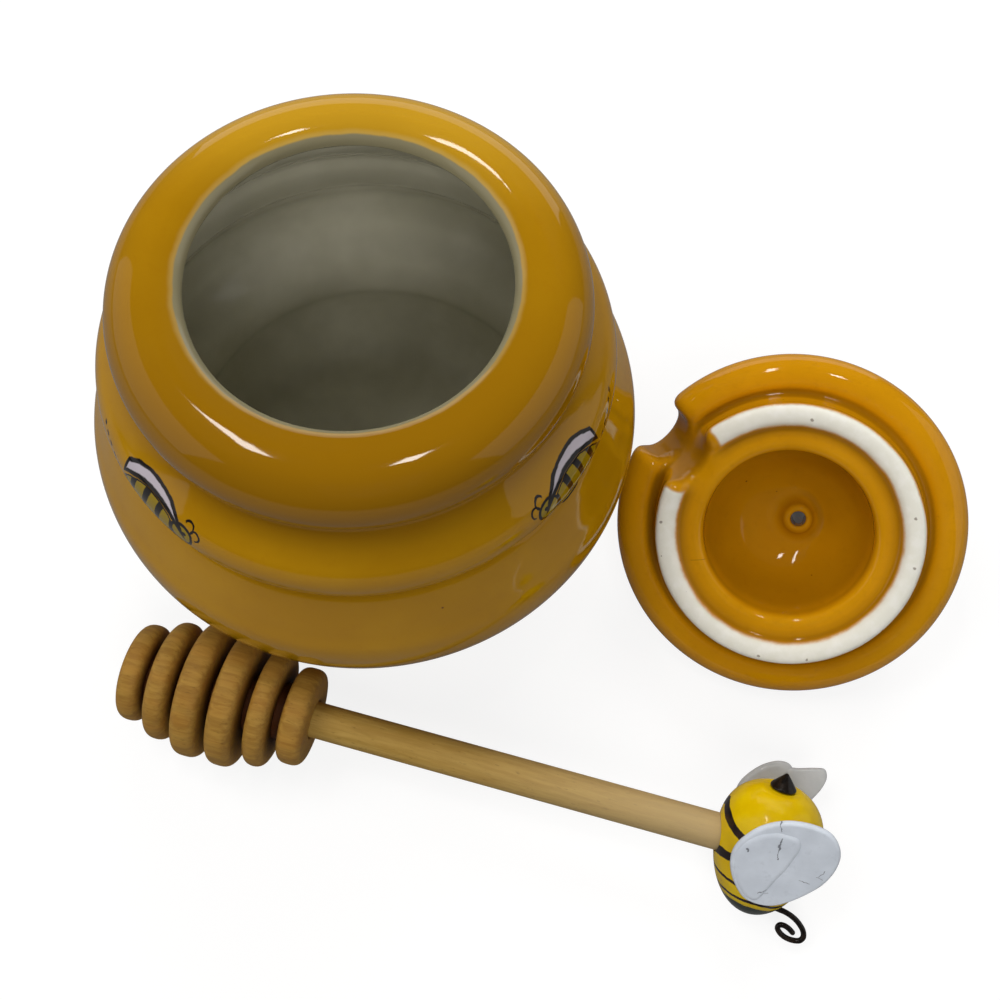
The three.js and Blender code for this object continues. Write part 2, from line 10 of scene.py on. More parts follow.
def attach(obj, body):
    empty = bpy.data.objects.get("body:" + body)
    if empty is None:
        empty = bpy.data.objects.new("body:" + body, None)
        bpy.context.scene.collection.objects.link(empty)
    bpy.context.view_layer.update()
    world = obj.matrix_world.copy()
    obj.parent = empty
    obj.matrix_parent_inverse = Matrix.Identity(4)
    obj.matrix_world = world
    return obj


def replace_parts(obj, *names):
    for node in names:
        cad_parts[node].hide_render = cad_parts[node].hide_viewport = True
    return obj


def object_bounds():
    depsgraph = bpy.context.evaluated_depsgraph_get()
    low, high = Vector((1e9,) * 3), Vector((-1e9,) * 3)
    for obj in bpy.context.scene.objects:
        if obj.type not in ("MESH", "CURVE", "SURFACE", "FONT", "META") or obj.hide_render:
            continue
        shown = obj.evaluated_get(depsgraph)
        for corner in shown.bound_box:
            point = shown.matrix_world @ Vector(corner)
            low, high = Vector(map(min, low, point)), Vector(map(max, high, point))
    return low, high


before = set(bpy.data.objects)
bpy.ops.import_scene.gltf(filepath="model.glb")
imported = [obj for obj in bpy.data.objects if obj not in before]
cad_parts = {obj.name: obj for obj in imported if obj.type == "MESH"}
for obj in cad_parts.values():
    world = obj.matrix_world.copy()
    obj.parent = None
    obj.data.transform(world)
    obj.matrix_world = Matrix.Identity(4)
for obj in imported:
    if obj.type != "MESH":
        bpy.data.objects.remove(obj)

cad_box = [list(corner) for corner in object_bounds()]
scene = bpy.context.scene
MM = 0.001

# Where the pieces stand, in millimetres and degrees

POT_AXIS = (-38.434, 22.017)
LID_PLACE = (55.070, 2.317, 36.63)
LID_HEADING = -20.9
LID_TILT = 34.92
DIPPER_PLACE = (-87.934, -31.882, 15.14)
DIPPER_HEADING = -11.5
BEE_REACH = 144.7
BEE_LEAN = -55


def turn(axis, degrees):
    return Matrix.Rotation(math.radians(degrees), 4, axis)


def shift(x, y, z):
    return Matrix.Translation((x * MM, y * MM, z * MM))


POT_FRAME = shift(POT_AXIS[0], POT_AXIS[1], 0)
LID_FRAME = shift(*LID_PLACE) @ turn("Z", LID_HEADING) @ turn("X", LID_TILT)
DIPPER_FRAME = shift(*DIPPER_PLACE) @ turn("Z", DIPPER_HEADING)
BEE_FRAME = DIPPER_FRAME @ shift(BEE_REACH, 0, 0) @ turn("X", BEE_LEAN)
STICK_FRAME = DIPPER_FRAME @ turn("Y", 90)

# Outlines: rows of radius and height


def oval_arc(centre, bulge, half, start, end, steps):
    angles = np.radians(np.linspace(start, end, steps + 1))
    return np.stack([centre[0] + bulge * np.cos(angles), centre[1] + half * np.sin(angles)], 1)


def bow(start, corner, end, steps):
    t = np.linspace(0, 1, steps + 1)[:, None]
    start, corner, end = np.array(start), np.array(corner), np.array(end)
    return (1 - t) ** 2 * start + 2 * t * (1 - t) * corner + t ** 2 * end


def meeting(a, b, c, d):
    """Where the line from a to b meets the line from c to d."""
    along, other = b - a, d - c
    share = np.cross(c - a, other) / np.cross(along, other)
    return a + along * share


def stacked(rolls, steps):
    """Rolls of clay one on the other, with rounded creases between them."""
    arcs = [
        oval_arc((radius - bulge, middle), bulge, half, start, end, steps)
        for radius, middle, half, bulge, start, end in rolls
    ]
    rows = [arcs[0]]
    for before, after in zip(arcs, arcs[1:]):
        corner = meeting(before[-2], before[-1], after[0], after[1])
        rows.append(bow(before[-1], corner, after[0], 3)[1:-1])
        rows.append(after)
    return np.vstack(rows)


def spline(points, steps=12):
    """A curve through all the points, without loops of its own."""
    points = np.asarray(points, float)
    ends = np.vstack([2 * points[0] - points[1], points, 2 * points[-1] - points[-2]])
    rows = []
    for p0, p1, p2, p3 in zip(ends, ends[1:], ends[2:], ends[3:]):
        sides = ((p0, p1), (p1, p2), (p2, p3))
        t0, t1, t2, t3 = np.cumsum([0] + [math.sqrt(np.linalg.norm(b - a)) for a, b in sides])
        t = np.linspace(t1, t2, steps, endpoint=False)[:, None]

        def blend(a, b, start, end):
            return (end - t) / (end - start) * a + (t - start) / (end - start) * b

        a1, a2, a3 = blend(p0, p1, t0, t1), blend(p1, p2, t1, t2), blend(p2, p3, t2, t3)
        rows.append(blend(blend(a1, a2, t0, t2), blend(a2, a3, t1, t3), t1, t2))
    return np.vstack(rows + [points[-1:]])


def even(points, spacing):
    """The same curve with its points a fixed distance apart."""
    steps = np.linalg.norm(np.diff(points, axis=0), axis=1)
    reach = np.concatenate([[0], np.cumsum(steps)])
    wanted = np.linspace(0, reach[-1], max(int(round(reach[-1] / spacing)), 1) + 1)
    return np.stack([np.interp(wanted, reach, column) for column in points.T], 1)


def soften(points, spacing, sigma):
    """Evens out a curve's bending, with its ends kept."""
    points = even(points, spacing)
    reach = int(math.ceil(3 * sigma / spacing))
    weights = np.exp(-0.5 * (np.arange(-reach, reach + 1) * spacing / sigma) ** 2)
    weights /= weights.sum()
    before = 2 * points[0] - points[reach:0:-1]
    after = 2 * points[-1] - points[-2:-reach - 2:-1]
    padded = np.vstack([before, points, after])
    return np.stack([np.convolve(column, weights, "valid") for column in padded.T], 1)


def inset(outline, wall):
    """The outline moved inwards by the wall's thickness."""
    before = np.vstack([outline[:1], outline[:-1]])
    after = np.vstack([outline[1:], outline[-1:]])
    along = after - before
    along /= np.linalg.norm(along, axis=1)[:, None]
    return np.stack([outline[:, 0] - along[:, 1] * wall, outline[:, 1] + along[:, 0] * wall], 1)


def share_of(value, start, end):
    """How far a value is from start to end: 0 before them and 1 past them."""
    return np.clip((value - start) / (end - start), 0, 1)


# Mesh makers

BOX_MARGIN = 0.005


def make_piece(name, points, faces):
    """A smooth mesh piece from points in millimetres."""
    mesh = bpy.data.meshes.new(name)
    mesh.from_pydata((np.asarray(points) * MM).tolist(), [], faces)
    mesh.validate()
    mesh.shade_smooth()
    piece = bpy.data.objects.new(name, mesh)
    scene.collection.objects.link(piece)
    return piece


def get_points(mesh):
    """The mesh's points in millimetres, one a row."""
    points = np.empty(len(mesh.vertices) * 3, np.float32)
    mesh.vertices.foreach_get("co", points)
    return points.reshape(-1, 3).astype(float) / MM


def set_points(mesh, points):
    mesh.vertices.foreach_set("co", (points * MM).astype(np.float32).ravel())


def set_down(piece, place):
    """Moves the mesh to its place, within the CAD's box, and keeps its own coordinates."""
    mesh = piece.data
    own = (get_points(mesh) * MM).astype(np.float32).ravel()
    mesh.attributes.new("own_place", "FLOAT_VECTOR", "POINT").data.foreach_set("vector", own)
    mesh.transform(place)
    low, high = np.array(cad_box) / MM
    set_points(mesh, np.clip(get_points(mesh), low + BOX_MARGIN, high - BOX_MARGIN))
    mesh.update()


def note(piece, name, values):
    """Stores one number for each point, for the material to use."""
    layer = piece.data.attributes.new(name, "FLOAT", "POINT")
    layer.data.foreach_set("value", np.asarray(values, np.float32))


def closed_skin(rings, sides):
    """The faces of a body of rings, whose two end points come after the rings."""
    faces = []
    first, last = rings * sides, rings * sides + 1
    for k in range(sides):
        after = (k + 1) % sides
        faces.append((first, after, k))
        for low in range(0, first - sides, sides):
            high = low + sides
            faces.append((low + k, low + after, high + after, high + k))
        faces.append((first - sides + k, first - sides + after, last))
    return faces


def turned(name, outline, sides, notes=None):
    """A closed body turned about local Z. The outline starts and ends on the axis."""
    ring = np.asarray(outline[1:-1])
    angles = 2 * math.pi * np.arange(sides) / sides
    x = ring[:, :1] * np.cos(angles)
    y = ring[:, :1] * np.sin(angles)
    z = np.repeat(ring[:, 1:], sides, 1)
    points = np.stack([x, y, z], 2).reshape(-1, 3)
    points = np.vstack([points, [0, 0, outline[0][1]], [0, 0, outline[-1][1]]])
    piece = make_piece(name, points, closed_skin(len(ring), sides))
    for key, values in (notes or {}).items():
        values = np.asarray(values)
        note(piece, key, np.concatenate([np.repeat(values[1:-1], sides), values[[0, -1]]]))
    return piece


def tube(name, path, radius, sides):
    """A round wire along a path, with domed ends."""
    path = np.asarray(path, float)
    along = np.gradient(path, axis=0)
    along /= np.linalg.norm(along, axis=1)[:, None]
    start, end = along[0] * radius, along[-1] * radius
    domes = [(math.sin(angle), math.cos(angle)) for angle in np.radians([15, 35, 55, 72])]
    sections = [(path[0] - start * rise, along[0], radius * share) for rise, share in domes[::-1]]
    sections += [(here, way, radius) for here, way in zip(path, along)]
    sections += [(path[-1] + end * rise, along[-1], radius * share) for rise, share in domes]
    across = np.cross(along[0], [0.3, 0.9, 0.2])
    angles = 2 * math.pi * np.arange(sides) / sides
    rings = []
    for here, way, reach in sections:
        across = across - way * across.dot(way)
        across /= np.linalg.norm(across)
        other = np.cross(way, across)
        rings.append(here + reach * (np.outer(np.cos(angles), across) + np.outer(np.sin(angles), other)))
    points = np.vstack(rings + [[path[0] - start], [path[-1] + end]])
    return make_piece(name, points, closed_skin(len(rings), sides))


def settle(piece):
    """Turns the piece's modifiers into its own mesh."""
    evaluated = piece.evaluated_get(bpy.context.evaluated_depsgraph_get())
    mesh = bpy.data.meshes.new_from_object(evaluated)
    piece.modifiers.clear()
    old = piece.data
    piece.data = mesh
    bpy.data.meshes.remove(old)


def cut_away(piece, cutter):
    """Cuts one body out of another and removes the cutter."""
    made = piece.modifiers.new("cut", "BOOLEAN")
    made.operation = "DIFFERENCE"
    made.solver = "EXACT"
    made.object = cutter
    bpy.context.view_layer.update()
    settle(piece)
    bpy.data.objects.remove(cutter)


def soft_edges(piece, degrees):
    piece.data.shade_smooth()
    piece.data.set_sharp_from_angle(angle=math.radians(degrees))


# Materials


def tint(red, green, blue):
    """An sRGB colour, 0 to 255, as the shader's linear values."""
    shares = [value / 255 for value in (red, green, blue)]
    return tuple(v / 12.92 if v <= 0.04045 else ((v + 0.055) / 1.055) ** 2.4 for v in shares) + (1,)


class Value:
    """One number in a material. Sums with it become nodes."""

    def __init__(self, look, socket):
        self.look, self.socket = look, socket

    def __add__(self, other):
        return self.look.math("ADD", self, other)

    def __sub__(self, other):
        return self.look.math("SUBTRACT", self, other)

    def __mul__(self, other):
        return self.look.math("MULTIPLY", self, other)

    def __abs__(self):
        return self.look.math("ABSOLUTE", self)


class Look:
    """The nodes of one material or of the room's light, put together one by one."""

    def __init__(self, name, owners=bpy.data.materials, output="ShaderNodeOutputMaterial"):
        self.owner = owners.new(name)
        self.owner.use_nodes = True
        self.tree = self.owner.node_tree
        self.tree.nodes.clear()
        self.output = self.node(output)

    def node(self, kind, **settings):
        made = self.tree.nodes.new(kind)
        for key, value in settings.items():
            setattr(made, key, value)
        return made

    def feed(self, socket, value):
        value = value.socket if isinstance(value, Value) else value
        if isinstance(value, bpy.types.NodeSocket):
            self.tree.links.new(value, socket)
        else:
            socket.default_value = value

    def fed(self, kind, values, **settings):
        """A node with its first inputs fed in turn."""
        made = self.node(kind, **settings)
        for socket, value in zip(made.inputs, values):
            self.feed(socket, value)
        return made

    def mirrored(self, path):
        """1 where something glossy or clear shows this, from the light path's outputs."""
        return self.math("ADD", path["Is Glossy Ray"], path["Is Transmission Ray"], clamp=True)

    def show(self, shader):
        self.feed(self.output.inputs[0], shader.outputs[0])

    def coat(self, **values):
        """Ends the material with one plain surface."""
        surface = self.node("ShaderNodeBsdfPrincipled")
        for key, value in values.items():
            self.feed(surface.inputs[key.replace("_", " ")], value)
        self.show(surface)

    def math(self, operation, *values, clamp=False):
        made = self.fed("ShaderNodeMath", values, operation=operation, use_clamp=clamp)
        return Value(self, made.outputs[0])

    def vector(self, operation, *values, scale=None):
        made = self.fed("ShaderNodeVectorMath", values, operation=operation)
        if scale is not None:
            self.feed(made.inputs["Scale"], scale)
        if operation in ("LENGTH", "DOT_PRODUCT", "DISTANCE"):
            return Value(self, made.outputs[1])
        return made.outputs[0]

    def mix(self, share, a, b):
        """From colour a to b as the share goes from 0 to 1. A plain colour is sRGB, 0 to 255."""
        made = self.node("ShaderNodeMix", data_type="RGBA")
        for place, value in ((0, share), (6, a), (7, b)):
            self.feed(made.inputs[place], tint(*value) if isinstance(value, tuple) else value)
        return made.outputs[2]

    def ease(self, value, start, end, low=0.0, high=1.0, curve="SMOOTHSTEP"):
        """A smooth change from low to high as the value goes from start to end."""
        made = self.fed("ShaderNodeMapRange", (value, start, end, low, high), interpolation_type=curve)
        return Value(self, made.outputs[0])

    def stretch(self, value, start, end, low=0.0, high=1.0):
        """A straight change from low to high, held beyond both ends."""
        return self.ease(value, start, end, low, high, "LINEAR")

    def place(self):
        return self.node("ShaderNodeAttribute", attribute_name="own_place").outputs["Vector"]

    def flat_place(self, place):
        """The place seen along local Z, in millimetres."""
        return self.vector("MULTIPLY", place, (1 / MM, 1 / MM, 0))

    def split(self, vector):
        parts = self.fed("ShaderNodeSeparateXYZ", (vector,)).outputs
        return [Value(self, part) for part in parts]

    def join(self, x, y, z):
        return self.fed("ShaderNodeCombineXYZ", (x, y, z)).outputs[0]

    def texture(self, kind, vector, size, **settings):
        """A texture whose patches are about size millimetres across."""
        made = self.node(kind)
        for key, value in {"Vector": vector, "Scale": 1 / (size * MM), **settings}.items():
            self.feed(made.inputs[key], value)
        return made.outputs

    def noise(self, vector, size, detail=2.0, roughness=0.5, distortion=0.0):
        """Noise from 0 to 1."""
        settings = {"Detail": detail, "Roughness": roughness, "Distortion": distortion}
        return Value(self, self.texture("ShaderNodeTexNoise", vector, size, **settings)[0])

    def shaken(self, vector, place, size, reach):
        """The vector moved about by up to half the reach, in patches of the given size."""
        moved = self.texture("ShaderNodeTexNoise", place, size)["Color"]
        moved = self.vector("SUBTRACT", moved, (0.5, 0.5, 0.5))
        return self.vector("ADD", vector, self.vector("MULTIPLY", moved, (reach, reach, 0)))

    def cells(self, vector, size):
        """Distance from the middle of the nearest cell, in cells."""
        return Value(self, self.texture("ShaderNodeTexVoronoi", vector, size)["Distance"])

    def noted(self, name):
        return Value(self, self.node("ShaderNodeAttribute", attribute_name=name).outputs["Fac"])

    def oval(self, spot, centre, radii, lean):
        """How far out in an oval a flat spot lies: 1 at its edge. Lengths in millimetres."""
        c, s = math.cos(math.radians(lean)), math.sin(math.radians(lean))
        from_centre = self.vector("SUBTRACT", spot, (*centre, 0))
        along = self.vector("DOT_PRODUCT", from_centre, (c / radii[0], s / radii[0], 0))
        across = self.vector("DOT_PRODUCT", from_centre, (-s / radii[1], c / radii[1], 0))
        return self.vector("LENGTH", self.join(along, across, 0.0))

    def scratch(self, spot, start, end, half):
        """1 on a thin straight line between two flat points, in millimetres, fading to its ends."""
        run = (end[0] - start[0], end[1] - start[1], 0)
        size = run[0] ** 2 + run[1] ** 2
        from_start = self.vector("SUBTRACT", spot, (*start, 0))
        share = self.vector("DOT_PRODUCT", from_start, (run[0] / size, run[1] / size, 0))
        share = self.math("MULTIPLY", share, 1.0, clamp=True)
        nearest = self.vector("SCALE", run, scale=share)
        gap = self.vector("LENGTH", self.vector("SUBTRACT", from_start, nearest))
        return self.ease(gap, half * 1.4, half * 0.6)

    def bump(self, height, depth, normal=None):
        """Relief of the given depth in millimetres from a height of 0 to 1."""
        made = self.node("ShaderNodeBump")
        self.feed(made.inputs["Distance"], depth * MM)
        self.feed(made.inputs["Height"], height)
        if normal is not None:
            self.feed(made.inputs["Normal"], normal)
        return made.outputs[0]


GLAZE_BEND = 1.52


def amber_glaze(look, place, glaze_pool_and_shade, deep, pale):
    """Honey-coloured glaze with soft clouds and a few specks, darker in creases and recesses: partly
    real glaze pooling, partly painted shade.
    """
    clouds = look.noise(place, 26, 3, 0.55)
    mottle = look.noise(place, 2.2, 4, 0.6)
    colour = look.mix(look.ease(clouds, 0.3, 0.72), deep, pale)
    colour = look.mix(look.ease(mottle, 0.5, 0.8) * 0.2, colour, (166, 108, 4))
    # Darker in creases and recesses: partly real glaze pooling, partly painted shade.
    colour = look.mix(glaze_pool_and_shade, colour, (118, 72, 2))
    specks = look.cells(place, 7.5)
    dots = look.ease(specks, 0.045, 0.02)
    rare = look.ease(look.noise(place, 11, 1), 0.56, 0.62)
    return look.mix(dots * rare, colour, (96, 52, 8))


def glaze_gloss(look, place):
    return look.stretch(look.noise(place, 6, 3), 0.3, 0.7, 0.035, 0.07)


def glaze_relief(look, place):
    """Slow waves and a fine ripple."""
    waves = look.noise(place, 14, 2, 0.5)
    ripple = look.noise(place, 1.1, 2, 0.5)
    slow = look.bump(waves, 0.08)
    return look.bump(ripple, 0.003, slow)


# Printed bees: one drawing, in millimetres on the roll, shown on both sides of its middle

PRINT_MIDDLE = -81.5
PRINT_START = 36
PRINT_FOOT = 64
PRINT_REACH = 51.4
print_wing = (((15.3, 9.6), (10.5, 7.3), 0), ((14.2, 6.4), (11.5, 8.6), 0))
print_body = ((14.2, 8.4), (8.8, 6.1), 0)
print_head = ((5.4, 11.4), (2.5, 2.3), 0)
print_tail = ((22.6, 9.4), (1.7, 0.8), -58)
print_bands = (20.6, 24.4, 28.3, 32.2)
print_feelers = [((2.3, 12.9), 1.1), ((3.9, 14.1), 1.1)]
print_olive = (150, 126, 10)
print_ink = (24, 20, 20)


def printed_bees(look, place, under):
    """Lays the drawing over the glaze's colour."""
    x, y, z = look.split(place)
    turn_round = look.math("ARCTAN2", y, x)
    away = abs(turn_round - math.radians(PRINT_MIDDLE))
    along = (away - math.radians(PRINT_START)) * PRINT_REACH
    up = z * (1 / MM) - PRINT_FOOT
    spot = look.shaken(look.join(along, up, 0.0), place, 2.5, 0.5)

    def filled(colour, level, size, fill, line):
        """A shape whose level is 0 at its edge, filled and then outlined in ink."""
        colour = look.mix(look.ease(level, 0.1 / size, -0.1 / size), colour, fill)
        edge = abs(level)
        return look.mix(look.ease(edge, line * 1.3 / size, line * 0.7 / size), colour, print_ink)

    def level(oval):
        return look.oval(spot, *oval) - 1.0

    body = level(print_body)
    colour = filled(under, body, 6.5, print_olive, 0.14)
    from_front = look.vector("DISTANCE", spot, (-12.5, 8.2, 0))
    taper = look.stretch(up, 2.5, 13.5, 0.2, 0.8)
    for reach in print_bands:
        gap = abs(from_front - reach)
        beyond = gap - taper
        band = look.ease(beyond, 0.12, -0.12) * look.ease(body, 0.02, -0.02)
        colour = look.mix(band, colour, print_ink)
    colour = filled(colour, level(print_tail), 1.2, print_ink, 0.1)
    for centre, reach in print_feelers:
        gap = abs(look.oval(spot, centre, (reach, reach), 0) - 1.0)
        ring = look.ease(gap, 0.26 / reach, 0.14 / reach)
        above = look.ease(up - along, 9.6, 10.0)
        colour = look.mix(ring * above, colour, print_ink)
    colour = filled(colour, level(print_head), 2.4, print_olive, 0.32)
    eye = look.ease(look.oval(spot, (4.7, 12.0), (0.5, 0.5), 0), 1.1, 0.9)
    colour = look.mix(eye, colour, print_ink)
    outer, inner = (level(oval) for oval in print_wing)
    crescent = look.math("MAXIMUM", outer, inner * -1.0)
    cut = (along - 22.6) * 0.125
    colour = filled(colour, look.math("MAXIMUM", crescent, cut), 8, (196, 188, 198), 0.36)
    path = (along - 24.7) * 0.36 + 10.5
    gap = abs(look.split(spot)[1] - path)
    dash = look.ease(look.math("SINE", along * 3.1), -0.2, 0.1)
    within = look.ease(along, 24.4, 24.8) * look.ease(along, 33.6, 33.0)
    trail = dash * within * look.ease(gap, 0.4, 0.24)
    return look.mix(trail, colour, print_ink)


def pot_look():
    look = Look("amber_pot_glaze")
    place = look.place()
    inside = look.noted("inside")
    edge = inside + (look.noise(place, 4, 2) - 0.5) * 0.25
    within = look.ease(edge, 0.5, 0.7)
    thin = look.ease(edge, 0.1, 0.5) * look.ease(edge, 0.75, 0.6)
    # Crease darkening from the outline: partly glaze pooling, partly painted shade.
    pooling_and_shade = look.noted("glaze_pool_and_shade") * 0.6
    amber = amber_glaze(look, place, pooling_and_shade, (176, 127, 5), (186, 137, 8))
    _, depth, height = look.split(look.vector("SCALE", place, scale=1 / MM))
    # Painted shade: the top roll darker on its near side.
    near_top_painted_shade = look.ease(height, 79, 87) * look.ease(depth, 48, -38, 0.0, 0.9)
    amber = look.mix(near_top_painted_shade, amber, (140, 97, 3))
    # Painted light: the pot paler towards its far side.
    amber = look.mix(look.ease(depth, 10, 40, 0.0, 0.65), amber, (206, 160, 40))
    amber = printed_bees(look, place, amber)
    amber = look.mix(thin * 0.25, amber, (214, 196, 132))
    cloud = look.noise(place, 18, 3, 0.55)
    grey = look.mix(look.ease(cloud, 0.35, 0.7), (186, 183, 163), (200, 197, 178))
    # Painted shade: the white glaze darker at the top of the inside, on the neck.
    grey = look.mix(look.ease(height, 92, 95), grey, (140, 133, 104))
    look.coat(
        Base_Color=look.mix(within, amber, grey),
        Roughness=glaze_gloss(look, place),
        Normal=glaze_relief(look, place),
        IOR=GLAZE_BEND,
    )
    return look.owner


# Pot: turned outside up to the lip, then inside down to the floor

POT_FIT = 0.9976
POT_SIDES = 224
POT_WALL = 5
CAVITY_FLOOR = 7.5
CAVITY_LOW = 18
CAVITY_HIGH = 93
CAVITY_NARROWEST = 37.6
CORNER_LEAN = 1.6
CORNER_REACH = 13.5
CAVITY_SOFTNESS = 0.9
WALL_SOFTNESS = 1.5
POOLING_AND_SHADE_BEND = 0.25
MOUTH_ASIDE = 0.7
MOUTH_REACH = (37, 32)
MOUTH_RISE = (88, 93)
pot_rolls = [
    (47.8, 24, 10, 7.2, 4, 35),
    (58, 47.7, 12.4, 6.9, -78, 54),
    (51.4, 73.1, 8.8, 9.1, -40, 52),
    (45.2, 91.2, 8.3, 8.9, -40, 90),
]
foot_ring = np.array([(0, 2.9), (32.9, 2.9), (33.6, 0.7), (34.3, 0), (37.9, 0), (38.6, 0.7)])
pot_lip = [(34.3, 99.25), (32.5, 98.75), (31.0, 97.9), (30.25, 96.9), (30.15, 96.4)]
pot_neck = [(30.35, 95.9), (31.8, 95.0), (34.6, 94.2)]


def pot_outline():
    """The glazed outside down to the mouth, and the cavity."""
    base = oval_arc((38.6, 24), 9.2, 20.4, -88, -6, 6)
    outside = np.vstack([base, stacked(pot_rolls, 5)])
    skin = soften(spline(np.vstack([outside, pot_lip])), 0.35, 0.55)
    inner = inset(soften(spline(outside), 0.5, WALL_SOFTNESS), POT_WALL)[::8]
    radius, height = inner.T
    kept = (height > CAVITY_LOW) & (height < CAVITY_HIGH) & (radius > CAVITY_NARROWEST)
    inner = inner[kept][::-1]
    foot = inner[-1]
    bend, end = (foot[0] - CORNER_LEAN, CAVITY_FLOOR), (foot[0] - CORNER_REACH, CAVITY_FLOOR)
    corner = bow(foot, bend, end, 8)[1:]
    cavity = soften(spline(np.vstack([pot_neck, inner, corner])), 0.5, CAVITY_SOFTNESS)
    return skin, cavity


def crease_pooling_and_shade(skin):
    """How deep the glaze lies in the outline's creases, 0 to 1, also used as painted shade there."""
    along = np.gradient(skin, axis=0)
    bend = np.gradient(along, axis=0)
    curl = (along[:, 0] * bend[:, 1] - along[:, 1] * bend[:, 0]) / np.linalg.norm(along, axis=1) ** 3
    spread = np.hanning(13)
    return np.convolve(np.clip(-curl / POOLING_AND_SHADE_BEND, 0, 1), spread / spread.sum(), "same")


def make_pot():
    skin, cavity = pot_outline()
    outline = np.vstack([foot_ring, skin, cavity, [(0, CAVITY_FLOOR)]])
    outline[:, 0] *= POT_FIT
    down = share_of(skin[:, 1], 98.9, 97.7) * (skin[:, 0] < 33.5)
    notes = {
        "inside": np.concatenate([np.zeros(len(foot_ring)), down, np.ones(len(cavity) + 1)]),
        "glaze_pool_and_shade": np.concatenate([np.zeros(len(foot_ring)), crease_pooling_and_shade(skin), np.zeros(len(cavity) + 1)]),
    }
    pot = turned("pot_shell", outline, POT_SIDES, notes)
    points = get_points(pot.data)
    reach = np.hypot(points[:, 0], points[:, 1])
    aside = share_of(reach, *MOUTH_REACH) * share_of(points[:, 2], *MOUTH_RISE)
    points[:, 1] += MOUTH_ASIDE * aside
    set_points(pot.data, points)
    set_down(pot, POT_FRAME)
    soft_edges(pot, 40)
    pot.data.materials.append(pot_look())
    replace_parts(pot, "pot_body")
    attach(pot, "pot")


make_pot()

# Lid: a smooth solid drawn from a distance field, so that every edge is rounded

NOTCH_HALF = 5.6
NOTCH_INNER = 22.4
NOTCH_MIDDLE = NOTCH_INNER + NOTCH_HALF
NOTCH_LEAN = 0.68
NOTCH_DIRECTION = 164.6
NOTCH_SOFTNESS = 3.2
NOTCH_SCALE = 0.93
VENT_RADIUS = 1.75
VENT_SOFTNESS = 0.7
NUB_TOP = -18.8
NUB_ASIDE = 2.5
NUB_DIRECTION = 35.5
NUB_REACH = (12, 4)
NUB_LEVEL = -30
LID_VOXEL = 0.5
LID_PULLS = 9
LID_EASED_PULLS = 7
POOLING_AND_SHADE_REACH = 1.6
LID_SIDES = 120
VENT_SIDES = 24
nub_shift = np.array(turn("Z", NUB_DIRECTION) @ Vector((NUB_ASIDE, 0, 0)))
ring_chips = [
    (-5.6, 25.6), (27.1, 4.5), (4.9, -27.5), (14.9, -23.8), (-26.7, -8.0), (22.8, 14.5), (27, -11.2),
]
lid_rolls = [
    (39.3, -13.7, 5.3, 5.6, 100, -62),
    (27.4, -21.6, 4.8, 5, 12, -56),
    (17.8, -28.6, 4.7, 5, 12, -56),
    (9, -35.9, 5.4, 6, 12, -90),
]


def lid_outline():
    """From the nub's top over the bowl, ring and dome to the crown, in the lid's own frame."""
    dome = stacked(lid_rolls, 4)
    seat = np.vstack([[(28.3, 0), (29.1, -0.8)], bow((29.5, -4.7), (29.9, -9.4), (31.1, -9.4), 3)])
    shoulder = np.array([(25.7, 0), (24.8, -0.7), (24.0, -2.0), (22.8, -2.35), (20, -2.2), (18.9, -3)])
    bowl = oval_arc((0, -3), 18.9, 20.4, -12, -66.95, 8)[:-1]
    nub = bow((7.4, -21.77), (4.4, -22.92), (3.4, -19.375), 6)
    nub = np.vstack([nub, [(2.825, NUB_TOP), (0, NUB_TOP)]])
    rows = np.vstack([nub[::-1], bowl[::-1], shoulder[::-1], seat, dome, [(0, -41.3)]])
    return soften(spline(rows, 8), 0.2, 0.45)


def pushed(points):
    """How far the nub was pushed aside at each point when it was wet."""
    share = share_of(np.hypot(points[:, 0], points[:, 1]), *NUB_REACH)
    return (share ** 2 * (3 - 2 * share))[:, None] * nub_shift


